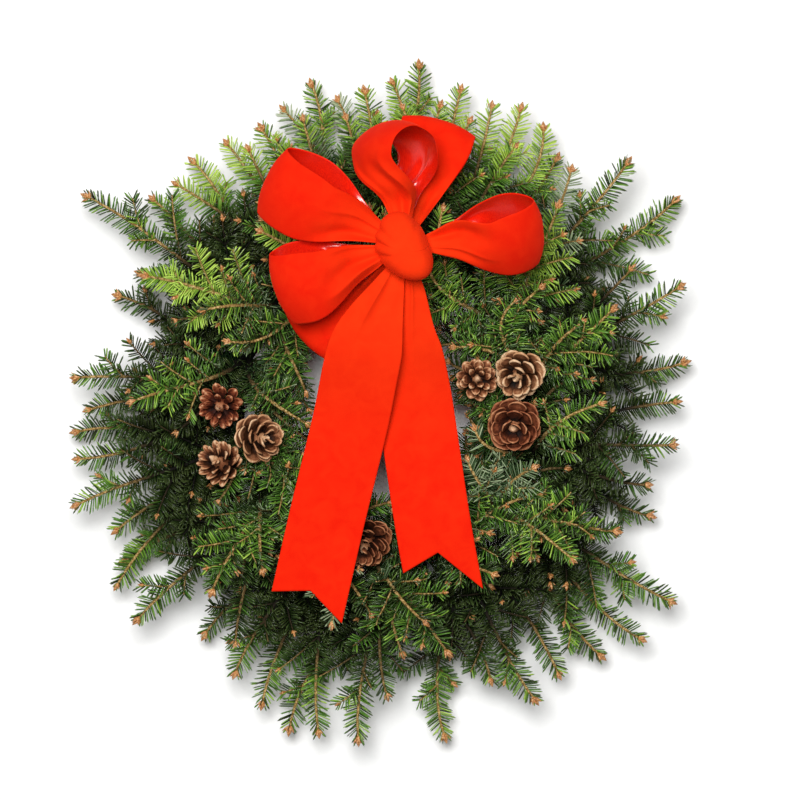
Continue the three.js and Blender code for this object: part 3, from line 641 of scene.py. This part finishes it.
def fold_loop(name, heading, reach, belly, climb, roll, level, phase):
    """A loop: out along its lower layer, round the fold and back over the top, gathered at the neck."""
    along, across = 150, 41
    line = [
        (NECK_START, 0, -NECK_HALF), (KNOT_REACH, 0, -NECK_HALF), (reach * 0.56, 0, -belly * 0.42),
        (reach * 0.87, 0, -belly * 0.4), (reach, 0, 0), (reach * 0.87, 0, belly * 0.42),
        (reach * 0.56, 0, belly * 0.44), (KNOT_REACH, 0, NECK_HALF), (NECK_START, 0, NECK_HALF),
    ]
    places, ways = catmull_rom(line, along)
    out = np.cross([0, 1, 0], ways)
    places, out = places[:, None], out[:, None]
    w, s = ribbon_shares(along, across)
    x = places[..., 0]
    half = softly_least(RIBBON_WIDTH / 2, x * GATHER, 1.6)
    crown = 6 * (1 - w * w) * smooth(x, KNOT_REACH, 80)
    pleats = 1 - 2 * np.abs(np.sin(2.3 * w + phase + 0.8 * s)) ** 0.8 + 0.5 * np.sin(7 * w - 1.7 * phase)
    pleats = pleats * 4.2 * smooth(x, 14, 38) * (1 - smooth(x, 40, 84)) * out[..., 2]
    wave = 1.3 * ripple(9 * s * math.pi + phase, 5 * s * math.pi + 2 * w) * np.abs(w) * smooth(x, 50, 90)
    grid = places + np.array([0, 1, 0]) * (w * half)[..., None] + out * (crown + pleats + wave)[..., None]
    turn = np.radians(roll) * smooth(grid[..., 0], KNOT_REACH, 76)
    x, y, z = np.moveaxis(grid, -1, 0)
    y, z = y * np.cos(turn) - z * np.sin(turn), y * np.sin(turn) + z * np.cos(turn)
    z = z + climb[0] * smooth(x, climb[1], climb[2])
    grid = turned(np.stack([x, y, z], -1), heading) + KNOT + UP * level
    write_ribbon("loop_" + name, grid)
    return grid


def cut_tail(name, route, cut, phase):
    """A tail: gathered at the knot, then full width to a swallow-tail end."""
    along, across = 170, 45
    places, ways = catmull_rom(route, along)
    right = unit(np.cross(UP, ways))
    face = np.cross(ways, right)
    w, s = ribbon_shares(along, across)
    from_knot = knot_distance(places)[:, None]
    half = softly_least(RIBBON_WIDTH / 2, from_knot * GATHER, 2.4)
    past = np.where(w < 0, mixed(cut[1], cut[0], -w), mixed(cut[1], cut[2], w)) * smooth(s, 0.84, 1)
    pleats = 1 - 2 * np.abs(np.sin(1.9 * w + phase)) ** 0.8 + 0.4 * np.sin(5.2 * w - phase)
    lift = pleats * 3.6 * smooth(from_knot, 16, 40) * (1 - smooth(from_knot, 48, 104))
    lift = lift + 1.6 * ripple(7 * s + phase, 12 * s + 1.6 * w + phase) * smooth(from_knot, 70, 140)
    grid = (places[:, None] + right[:, None] * (w * half)[..., None]
            + ways[:, None] * past[..., None] + face[:, None] * lift[..., None])
    write_ribbon("tail_" + name, grid[:, ::-1], ORANGE_ON_TAILS)
    return grid


def puff_knot():
    """The ribbon folded over the middle of the bow: a soft slanting puff with creases at its left rim."""
    around, rows = 144, 44
    turn = np.linspace(0, 2 * math.pi, around)[None, :]
    rise = np.linspace(0, 1, rows)[:, None] * math.pi / 2
    at, far = np.transpose(KNOT_OUTLINE)
    raw = np.interp(np.degrees(turn), at, far, period=360)
    radius = sum(np.interp(np.degrees(turn) + shift, at, far, period=360) for shift in range(-16, 17, 4)) / 9
    radius = mixed(radius, raw, 0.3)
    width = np.cos(rise) ** 0.62
    creases = sum(
        depth * np.exp(-((np.mod(turn - place + math.pi, 2 * math.pi) - math.pi) / spread) ** 2)
        for place, depth, spread in KNOT_CREASES
    )
    lumps = 0.03 * ripple(3 * turn + 1, 2 * turn + 5 * rise)
    swell = 1 + (lumps - creases) * np.sin(2 * rise) ** 0.6
    tuck = 1 - 0.14 * (1 - smooth(rise, 0, 0.4))
    reach = radius * width * swell * tuck
    leaning = smooth(rise, 0.1, 1.5)
    x = reach * np.cos(turn) + 2.5 * leaning
    y = reach * np.sin(turn) - 5.5 * leaning
    z = KNOT_HEIGHT * np.sin(rise) ** 0.95 * np.ones_like(turn)
    grid = np.stack([x, y, z], -1) + KNOT + UP * KNOT_FLOOR
    grid[:, -1] = grid[:, 0]
    grid[-1] = grid[-1].mean(0)
    write_ribbon("knot", grid)


def make_bow():
    """Writes the loops, the tails and the knot, and gives the loops' and tails' grids of points."""
    grids = [fold_loop(name, *loop, phase=1.3 * i) for i, (name, loop) in enumerate(BOW_LOOPS.items())]
    grids += [cut_tail(name, *tail, phase=0.7 + 2 * i) for i, (name, tail) in enumerate(TAILS.items())]
    puff_knot()
    return grids


def ceiling_over(grids):
    """A function that gives the height of the lowest ribbon over each place, or a great height."""
    corners, faces = [], []
    for grid in grids:
        faces += (np.stack(grid_cells(*grid.shape[:2]), -1) + len(corners)).tolist()
        corners += [tuple(p) for p in grid.reshape(-1, 3)]
    tree = BVHTree.FromPolygons(corners, faces)

    def heights(places):
        found = [tree.ray_cast((x, y, 1.0), (0, 0, 1)) for x, y in places[:, :2]]
        return np.array([hit[0].z if hit[0] is not None else 1e3 for hit in found])

    return heights


# ---------------- fir sprays
def stem_route(spray, steps=24, sway=0.0):
    clamp, seat, habit, tip = spray[:4]
    across, height = SEATS[seat]
    ways = HABITS[habit]
    angle = clamp * CLAMP_STEP
    along = polar(angle + 90, 1, 0)
    held = polar(angle, RING_RADIUS + across, height)
    leaves = held + along * 3
    end = polar(*tip)
    reach = np.linalg.norm(end - leaves)
    arriving = polar(tip[0] + ways["heading"] + sway, 1, 0)
    curve = bezier(leaves, leaves + along * ways["start"] * reach + UP * ways["lift"],
                   end - arriving * ways["finish"] * reach + UP * ways["arch"], end, steps)
    return np.concatenate([[held - along * STEM_STUB], curve])


def station(stem, share):
    """The place, direction and face at a share of the way along the six points of the model's stem."""
    steps = len(stem) - 2
    t = np.clip((share * 5 - 1) / 4, 0, 0.999) * steps + 1
    i = int(t)
    point = mixed(stem[i], stem[i + 1], t - i)
    forward = unit(stem[i + 1] - stem[i])
    face = unit(UP - forward * forward[2])
    return point, forward, face, np.cross(forward, face)


def in_open_space(points, margin):
    inside = np.zeros(len(points), bool)
    for low, high in OPEN_SPACES:
        inside |= np.all((points > np.array(low) - margin) & (points < np.array(high) + margin), axis=1)
    return inside


# The room of each cone: its middle, axis, half width and half length with some air, and foot's height.
CONE_ROOM = [
    (np.array(base) + unit(axis) * length * 0.5, unit(axis), width / 2 + 1.5, length / 2 + 2, base[2])
    for base, axis, width, length, _ in CONES.values()
]


def in_cone(points):
    """Points inside a cone, or just over it where they would hide it."""
    inside = np.zeros(len(points), bool)
    for middle, way, girth, half, floor in CONE_ROOM:
        from_middle = points - middle
        up = from_middle @ way
        out = np.linalg.norm(from_middle - up[:, None] * way, axis=1)
        inside |= (up / half) ** 2 + (out / girth) ** 2 < 1
        plan = np.hypot(from_middle[:, 0], from_middle[:, 1])
        inside |= (plan < girth * 0.86) & (points[:, 2] > floor + 6)
    return inside


def painted_light_share(points):
    """How much of the painted shade is lifted: none low inside the wreath, where needles and bark are
    painted dark, and all of it on top and outside.
    """
    from_middle = np.hypot(points[:, 0], points[:, 1])
    return np.maximum(smooth(points[:, 2], *PAINTED_LIGHT_HEIGHTS), smooth(from_middle, *PAINTED_LIGHT_DISTANCES))


class Foliage:
    """Grows sprays into bundles, clear of the ribbons, the cones and the wreath's open middle."""

    def __init__(self, ceiling):
        self.ceiling = ceiling
        self.turned_over = 1.0

    def lowered(self, points, margin):
        """The points brought under the ribbons and over the floor."""
        top = self.ceiling(points) - margin
        points = points.copy()
        points[:, 2] = np.maximum(np.minimum(points[:, 2], top), 1.5)
        return points

    def needles(self, limb, start, face_up, flat=0.8, size=1.0, fresher=0.0):
        """Needles in ranks along both sides of a limb, shorter and more forward to its end. A part of
        them, given by flat, lie to the sides and the rest stand up from the limb."""
        rng = self.rng
        long = path_length(limb) * (1 - start)
        count = int(long * NEEDLES_PER_MM)
        if count < 2:
            return
        s = (np.arange(count) + rng.uniform(0.3, 0.7, count)) / count
        root, forward = along_path(limb, start + (1 - start) * s * 0.985)
        face = unit(face_up - forward * (forward @ face_up)[:, None])
        side = np.cross(forward, face)
        turn = np.where(np.arange(count) % 2 == 0, 1.0, -1.0)
        rank = rng.uniform(0, 1, count)
        rise = np.radians(np.where(rank < flat, rng.normal(18, 13, count), rng.normal(50, 16, count)))
        end = np.clip(1 - (1 - s) * long / 14, 0, 1)
        angle = np.radians(mixed(67, 34, end) + rng.normal(0, 4, count))
        around = side * (turn * np.cos(rise))[:, None] + face * np.sin(rise)[:, None]
        way = unit(forward * np.cos(angle)[:, None] + around * np.sin(angle)[:, None])
        top = face * np.cos(rise)[:, None] - side * (turn * np.sin(rise))[:, None]
        top = top + np.cross(way, top) * rng.normal(0, 0.42, count)[:, None]
        top = unit(top - way * (top * way).sum(1)[:, None]) * self.turned_over
        long_mm = NEEDLE_LENGTH * size * rng.uniform(0.84, 1.1, count) * mixed(1, 0.68, end)
        long_mm = long_mm * mixed(0.7, 1, np.clip(s * long / 10, 0, 1)) * np.where(rank < flat, 1, 0.82)
        tip = root + way * long_mm[:, None]
        keep = ~(in_open_space(tip, 1) | in_cone(tip) | in_cone(mixed(root, tip, 0.5)))
        keep &= tip[:, 2] < self.ceiling(tip) - 1.5
        keep &= tip[:, 2] > 0.6
        root, way, top, long_mm = root[keep], way[keep], top[keep], long_mm[keep]
        shade = np.clip(self.fresh + fresher + rng.normal(0, SHADE_SPREAD, count), 0, 1)[keep]
        # painted shade: needles low inside the wreath are painted darker, towards black
        shade = shade * painted_light_share(tip[keep])
        self.add_needles(root, way, top, long_mm, shade)

    def add_needles(self, root, way, top, long_mm, shade):
        """Flat needles with a keel underneath: a root point, two three-cornered rings and a tip."""
        count = len(root)
        if not count:
            return
        wide = np.cross(way, top)
        bend = self.rng.normal(0.1, 0.06, count)
        corners = np.empty((count, 8, 3))
        corners[:, 0] = root
        for first, at, broad, deep in ((1, 0.13, 0.42, 0.7), (4, 0.84, 0.46, 0.8)):
            centre = root + way * (long_mm * at)[:, None] + top * (long_mm * bend * at * at)[:, None]
            corners[:, first] = centre - wide * NEEDLE_WIDTH * broad
            corners[:, first + 1] = centre + wide * NEEDLE_WIDTH * broad
            corners[:, first + 2] = centre - top * NEEDLE_DEPTH * deep
        corners[:, 7] = root + way * long_mm[:, None] + top * (long_mm * bend)[:, None]
        faces = np.array([
            (0, 2, 1), (1, 2, 5), (1, 5, 4), (4, 5, 7),
            (0, 3, 2), (0, 1, 3), (2, 3, 6), (2, 6, 5), (3, 1, 4), (3, 4, 6), (5, 6, 7), (6, 4, 7),
        ])
        finish = np.array([NEEDLE_FACE] * 4 + [NEEDLE_BANDS] * 8)
        triangles = faces[None] + (np.arange(count) * 8)[:, None, None]
        share = np.tile([0, 0.12, 0.12, 0.12, 0.84, 0.84, 0.84, 1.0], count)
        self.bundle.add(corners, triangles, np.tile(finish, count), np.repeat(shade, 8), share)

    def bud(self, place, way, long_mm, girth):
        """An egg-shaped bud."""
        shares = np.array([0, 0.2, 0.45, 0.75, 0.97])
        widths = np.array([0.5, 0.9, 1.0, 0.5, 0.08]) * girth
        points = place + way * (shares * long_mm)[:, None]
        first_up = UP if abs(way[2]) < 0.9 else np.array([1.0, 0, 0])
        add_tube(self.bundle, points, widths, BUD, 6, first_up)

    def bud_cluster(self, limb, size):
        """A brush of pointed buds at a limb's end."""
        rng = self.rng
        way = unit(limb[-1] - limb[-2])
        face = unit(UP - way * way[2] + 1e-6)
        side = np.cross(way, face)
        place = limb[-1] - way * 0.8
        if in_cone(place[None])[0] or in_open_space(place[None], 2)[0]:
            return
        self.bud(place, way, 6.6 * size, 1.9 * size)
        for turn, lift in BUD_LEANS:
            out = unit(way * rng.uniform(0.4, 1.1) + side * turn * 0.7 + face * lift * 0.7)
            self.bud(place - way * rng.uniform(0.6, 2.2), out, rng.uniform(4.6, 7.0) * size,
                     rng.uniform(0.9, 1.3) * size)

    def twig(self, at, angle, rise, turn, length, depth=0):
        """A side twig with its own needles, a bud and, when long, shorter twigs of its own."""
        rng = self.rng
        point, forward, face, side = at
        out = math.sin(math.radians(angle)) * turn
        tip = (point + forward * length * math.cos(math.radians(angle))
               + side * length * out * math.cos(math.radians(rise))
               + face * length * abs(out) * math.sin(math.radians(rise)))
        s = np.linspace(0, 1, 7)[:, None]
        limb = mixed(point, tip, s) + (forward * 0.09 - side * turn * 0.05) * length * s * (s - 1) * -1
        limb = self.lowered(limb, 5)
        if in_open_space(limb[-1:], 3)[0] or in_cone(limb[2:]).any():
            return
        radii = np.linspace(TWIG_RADIUS, TWIG_TIP_RADIUS, 7) * (1 - 0.15 * depth)
        # share carries the twig bark's painted shade
        add_tube(self.bundle, limb, radii, BARK, 6, tone=self.fresh * 0.6, share=painted_light_share(limb))
        self.needles(limb, 0.04, face, 0.5 if rise > 22 else 0.8, 1 - 0.1 * depth, 0.04)
        if rng.uniform() < BUDDED_SHARE:
            self.bud_cluster(limb, rng.uniform(0.6, 0.9))
        if depth == 0 and length > LONG_TWIG:
            for share in (0.42, 0.68):
                for way in (-1, 1):
                    i = int(share * 6)
                    ahead = unit(limb[i + 1] - limb[i])
                    up = unit(face - ahead * face.dot(ahead))
                    start = (limb[i], ahead, up, np.cross(ahead, up))
                    shorter = length * (0.42 if share < 0.5 else 0.3)
                    self.twig(start, 44, rng.uniform(-8, 14), way, shorter, depth=1)

    def grow(self, bundle, spray, seed, grown_by_draw):
        """A whole spray: its stem, side twigs, needles and buds."""
        self.bundle, self.fresh = bundle, spray[4]
        self.rng = rng = np.random.RandomState(seed * 7 + 3)
        sway = 0.0 if grown_by_draw else rng.uniform(-26, 26)
        degrees, distance = spray[3][:2]
        silver = not grown_by_draw and rng.uniform() < SILVER_SHARE and (degrees % 360 > 80 or distance > 160)
        self.turned_over = -1.0 if silver else 1.0
        stem = self.lowered(stem_route(spray, 24, sway), 6)
        coarse = stem_route(spray, 4, sway)
        if not grown_by_draw and in_cone(stem[6:]).any():
            return
        whole = path_length(coarse) * (1.0 if grown_by_draw else 0.88)
        radii = np.concatenate([[0.92, 0.9], np.linspace(0.8, STEM_TIP_RADIUS / STEM_RADIUS, len(stem) - 2)])
        # share carries the stem bark's painted shade
        add_tube(bundle, stem, STEM_RADIUS * radii, BARK, 8, tone=self.fresh * 0.35, share=painted_light_share(stem))
        draw = seeded_draw(seed)
        for along, long_share, angle in TWIG_PAIRS:
            for turn in (-1, 1):
                length = whole * long_share * mixed(0.85, 1.1, draw())
                rise = mixed(-6, 16, draw())
                if not grown_by_draw:
                    rise = rise + rng.uniform(-8, 8)
                self.twig(station(stem, along + 0.03 * turn), angle, rise, turn, length)
        for along, long_share, angle in FINE_TWIG_PAIRS[: 2 if grown_by_draw else 1]:
            for turn in (-1, 1):
                at = station(stem, along + 0.03 * turn + rng.uniform(-0.015, 0.015))
                rise = rng.uniform(26, 64) if rng.uniform() < UPRIGHT_SHARE else rng.uniform(-8, 14)
                self.twig(at, angle + rng.uniform(-5, 5), rise, turn,
                          whole * long_share * rng.uniform(0.85, 1.15))
        self.needles(stem, 0.3, UP)
        self.bud_cluster(stem, 1.25 if grown_by_draw else 1.05)


def filler_sprays():
    """Sprays between the model's own: outline tips first, then layers that fill the body of the wreath."""
    rng = np.random.RandomState(FILLER_LAYOUT_SEED)
    sprays = []
    for degrees, distance, height, fresh in OUTLINE_TIPS:
        clamp = round((degrees - 22) / CLAMP_STEP) % CLAMP_COUNT
        sprays.append((clamp, "inner", "low" if height < 45 else "high", (degrees, distance, height), fresh))
    for clamp, degrees, distance, height in BESIDE_TAILS:
        sprays.append((clamp, "top", "inner", (degrees, distance, height), 0.3))
    layers = [
        ("high", (14, 36), (158, 208), (44, 78)),
        ("front", (12, 34), (158, 206), (76, 104)),
        ("front", (30, 58), (126, 160), (74, 98)),
        ("inner", (26, 46), (76, 92), (30, 82)),
        ("low", (8, 30), (164, 204), (12, 30)),
    ]
    for habit, ahead, distance, height in layers:
        for clamp in range(CLAMP_COUNT):
            degrees = clamp * CLAMP_STEP + rng.uniform(*ahead)
            warm = 0.5 if 45 < degrees % 360 < 150 else 0.3
            sprays.append((clamp, "top", habit, (degrees, rng.uniform(*distance), rng.uniform(*height)),
                           warm + rng.normal(0, 0.1)))
    return sprays


def make_foliage(ceiling):
    """The model's own sprays, a piece each, then the filling sprays, a bundle for each clamp."""
    foliage = Foliage(ceiling)
    named = [(f"back_spray_{i:02d}", s) for i, s in enumerate(BACK_SPRAYS, 1)]
    named += [(f"front_spray_{i:02d}", s) for i, s in enumerate(FRONT_SPRAYS, 1)]
    named += [(f"inner_spray_{i:02d}", s) for i, s in enumerate(INNER_SPRAYS, 1)]
    for i, (node, spray) in enumerate(named):
        bundle = Bundle()
        foliage.grow(bundle, spray, FIRST_SEED + i, True)
        slot = "fresh_fir_foliage" if node in ("front_spray_02", "front_spray_03") else "fir_foliage"
        bundle.write("fir_" + node, slot, FOLIAGE, [node])
    fillers = filler_sprays()
    for clamp in range(CLAMP_COUNT):
        bundle = Bundle()
        for i, spray in enumerate(fillers):
            if spray[0] == clamp:
                foliage.grow(bundle, spray, FIRST_FILLER_SEED + i, False)
        bundle.write(f"fir_bundle_{clamp + 1:02d}", "fir_foliage", FOLIAGE)


# ---------------- pine cones
def make_cone(name, base, axis, width, length, make):
    """An open cone: a spindle with woody scales set round it by the golden angle. Each is narrow and dark
    at its root and swells to a broad end with a pale rim, and its tip lies on the cone's egg shape."""
    scales, breadth, pointed, openness, rosy, bleached = make
    bundle = Bundle()
    girth = width / 2
    way = unit(axis)
    k = unit(np.cross(UP, way))
    tilt = math.acos(way[2])

    def placed(points):
        points = np.asarray(points, float)
        return (points * math.cos(tilt) + np.cross(k, points) * math.sin(tilt)
                + k * (points @ k)[..., None] * (1 - math.cos(tilt)) + np.array(base))

    rng = np.random.RandomState(int(width * 100 + length))
    first_up = np.array([1.0, 0, 0])
    spindle = np.array([(0, 0, h) for h in np.linspace(0.0, 0.8, 8) * length])
    thick = np.array([0.2, 0.3, 0.34, 0.32, 0.28, 0.22, 0.15, 0.05]) * girth
    add_tube(bundle, placed(spindle), thick, WOOD, 10, first_up, tone=rosy)
    u = np.array([-1, -0.9, -0.68, -0.35, 0, 0.35, 0.68, 0.9, 1])[None, :]
    v = np.array([0, 0.16, 0.34, 0.5, 0.64, 0.76, 0.86, 0.94, 1.0])[:, None]
    belly = 0.36 * length
    for i in range(scales):
        share = (i + 0.5) / scales
        sine = mixed(-0.34, 0.97, share ** 0.9)
        rim_angle = math.asin(sine) + rng.uniform(-0.14, 0.14)
        depth = belly if sine < 0 else length - belly
        tip_out = girth * math.cos(rim_angle) * rng.uniform(0.9, 1.0) * mixed(1.1, 1.0, share)
        tip_up = belly + depth * math.sin(rim_angle)
        root_out = girth * mixed(0.14, 0.04, share)
        root_up = length * mixed(0.04, 0.66, share)
        steep = math.radians(mixed(12, 80, share ** 0.75) * mixed(1.25, 0.8, openness))
        hook = 0.4 * math.hypot(tip_out - root_out, tip_up - root_up)
        points = bezier(
            np.array([root_out, root_up]),
            np.array([root_out + (tip_out - root_out) * 0.55, root_up + (tip_up - root_up) * 0.2]),
            np.array([tip_out - hook * math.cos(steep), tip_up - hook * math.sin(steep)]),
            np.array([tip_out, tip_up]), 40)
        line, ahead = along_path(np.column_stack([points, points[:, :1] * 0]), v[:, 0])
        wide = girth * mixed(0.42, 0.18, share ** 1.3) * breadth * rng.uniform(0.86, 1.12)
        end = np.clip((v - 0.7) / 0.3, 0, 1)
        rounded = np.sqrt(np.clip(1 - end ** 2.6, 0, 1)) * (1 - pointed * 0.45 * end)
        outline = mixed(0.34, 1.0, smooth(v, 0.1, 0.76)) * np.maximum(rounded, 0.1)
        y = u * outline * wide
        cup = (u ** 2) * wide * 0.3 * outline + 0.5 * np.sin(v * 9 + i) * (1 - u * u) * 0.4
        out = line[:, :1] - cup * ahead[:, 1:2]
        up = line[:, 1:2] + cup * ahead[:, :1]
        middle = turned(np.stack([out, y, up], -1), i * GOLDEN_ANGLE + rng.uniform(-13, 13))
        plump = mixed(0.8, mixed(1.5, 2.6, bleached), smooth(v, 0.4, 0.84)) * (1 - 0.5 * u ** 2)
        plump = plump * np.where(v > 0.97, 0.6, 1.0)
        edge = np.maximum(smooth(v, 0.88, 0.98), smooth(np.abs(u), 0.84, 0.99) * smooth(v, 0.5, 0.7) * 0.8)
        knob = smooth(v, 0.74, 0.9) * np.exp(-(u / 0.4) ** 2) * smooth(openness, 0.6, 0.9)
        patch = np.exp(-((v - 0.7) / 0.15) ** 2 - (u / 0.5) ** 2)
        wood = 0.06 + 0.3 * smooth(v, 0.2, 0.7) + patch * 0.24 + edge * 0.42 + knob * 0.5
        wood = wood + rng.uniform(-0.1, 0.08)
        wood = np.clip(wood + bleached * 0.26 * smooth(v, 0.5, 0.9), 0, 1)
        add_grid_solid(bundle, placed(middle), plump, WOOD, WOOD, WOOD, rosy, np.tile(wood.ravel(), 2))
    stalk = np.array([(0, 0, -0.2), (0, 0, 1.5)])
    add_tube(bundle, placed(stalk), girth * 0.26, STALK, 8, first_up)
    bundle.write("pine_" + name, "pine_cone", CONE_WOOD, [name])


# ---------------- ring, clamps and wires
def make_ring():
    """The hoop of enamelled wire, with a clamp of thinner wire bent shut over each bunch of stems."""
    bundle = Bundle()
    turn = np.linspace(0, 360, 181)
    hoop = np.array([polar(a, RING_RADIUS, RING_WIRE / 2) for a in turn])
    add_tube(bundle, hoop, RING_WIRE / 2, ENAMEL, 12)
    crowded = {s[0] for s in FRONT_SPRAYS + INNER_SPRAYS}
    off, corner = 0.9, 1.6  # from a clamp's inner face to the middle of its wire, and its bends' radius
    for i in range(CLAMP_COUNT):
        top = SEATS["top" if i in crowded else "outer"][1] + STEM_FLAT + SEAT_GAP + off
        low, wide = CLAMP_FLOOR - off, CLAMP_HALF_WIDTH + off
        route = []
        for x, z, start in ((wide - corner, top - corner, 0), (corner - wide, top - corner, 90),
                            (corner - wide, low + corner, 180), (wide - corner, low + corner, 270)):
            for bend in range(0, 91, 30):
                a = math.radians(start + bend)
                route.append((RING_RADIUS + x + corner * math.cos(a), 0, z + corner * math.sin(a)))
        route.append(route[0])
        sideways = turned(ACROSS, i * CLAMP_STEP)
        add_tube(bundle, turned(route, i * CLAMP_STEP), CLAMP_WIRE, ENAMEL, first_up=sideways)
    bundle.write("wreath_ring", "steel_wire", WIRE, ["clamp_ring"])


def make_cone_wires():
    """A wire for each group of cones: it stands on the ring and parts to the cones' stalk ends."""
    for side, foot_angle in CONE_WIRE_FEET.items():
        bundle = Bundle()
        foot = polar(foot_angle, RING_RADIUS, RING_WIRE + SEAT_GAP)
        fork = foot + UP * CONE_WIRE_FORK
        post = np.array([foot, mixed(foot, fork, 0.5), fork + UP * 2])
        add_tube(bundle, post, WIRE_RADIUS, ENAMEL, first_up=ACROSS)
        for name, (base, axis, *_) in CONES.items():
            if name.startswith(side):
                way = unit(axis)
                base = np.array(base, float)
                route, _ = catmull_rom([fork, base - way * 12, base - way * SEAT_GAP], 14)
                add_tube(bundle, route, WIRE_RADIUS, ENAMEL, first_up=ACROSS)
        bundle.write(f"wire_of_{side}_cones", "steel_wire", WIRE, [f"{side}_cone_wire"])


def make_tie_wire():
    """The wire that gathers the bow: up from the ring, round the necks of the loops and across them."""
    bundle = Bundle()
    height = (UPPER_NECKS + LOWER_NECKS) / 2
    foot = polar(TIE_FOOT, RING_RADIUS, RING_WIRE + SEAT_GAP)
    leg = [foot, foot + UP * 22, KNOT + UP * 112, KNOT + UP * (height + 0.6)]
    add_tube(bundle, catmull_rom(leg, 30)[0], 1.3, ENAMEL, first_up=ACROSS)
    loop = np.array([polar(a, 10.3, height) for a in np.linspace(0, 360, 49)]) + KNOT
    add_tube(bundle, loop, WIRE_RADIUS, ENAMEL)
    arm = KNOT + np.array([(0, 0, height), (5, 0, height), (10, 0, height)])
    add_tube(bundle, arm, 0.9, ENAMEL)
    bundle.write("wire_of_bow", "steel_wire", WIRE, ["bow_tie_wire"])


# ---------------- table, light and camera
def make_studio():
    """A pale floor, a weak even sky, a soft key light from the top left and a weak fill."""
    bpy.ops.mesh.primitive_plane_add(size=14, location=(0, 0, -0.0002))
    floor = bpy.context.object
    floor.name = "studio_floor"
    floor.data.materials.append(made_of(studio_floor, Roughness=0.7, Specular_IOR_Level=0.2))

    world = bpy.data.worlds.new("studio")
    bpy.context.scene.world = world
    world.use_nodes = True
    world.node_tree.nodes["Background"].inputs["Color"].default_value = (1, 1, 1, 1)
    world.node_tree.nodes["Background"].inputs["Strength"].default_value = 0.065

    for name, place, size, power in (
        ("key", (-0.28, 0.62, 3.2), 1.3, 127),
        ("fill", (0.9, -1.3, 2.6), 1.6, 5),
    ):
        light = bpy.data.lights.new(name, "AREA")
        light.size = size
        light.energy = power
        lamp = new_object(name, light)
        lamp.location = place
        aim = np.array([0, 0, 0.06]) - np.array(place)
        lamp.rotation_mode = "QUATERNION"
        lamp.rotation_quaternion = Vector(aim).to_track_quat("-Z", "Y")


def make_camera():
    """Straight down on the wreath's face, through a long lens, framed as the photograph is."""
    photo_width, mm_per_pixel = 800, 0.85
    hole_pixel = (387, 410)
    field = photo_width * mm_per_pixel * MM
    height = 5.0
    aim = RING_MIDDLE + np.array([
        (photo_width / 2 - hole_pixel[0]) * mm_per_pixel * MM,
        (hole_pixel[1] - photo_width / 2) * mm_per_pixel * MM,
        0.0,
    ])
    data = bpy.data.cameras.new("camera")
    data.sensor_width = 36
    data.lens = 36 * (height - 0.04) / field
    data.clip_end = 50
    camera = new_object("camera", data)
    camera.location = (aim[0], aim[1], height)
    bpy.context.scene.camera = camera


# ---------------- the wreath
make_camera()
ribbon_grids = make_bow()
for cone_name, cone in CONES.items():
    make_cone(cone_name, *cone)
make_ring()
make_cone_wires()
make_tie_wire()
make_foliage(ceiling_over(ribbon_grids))
make_studio()
bpy.context.scene.view_settings.view_transform = "Standard"
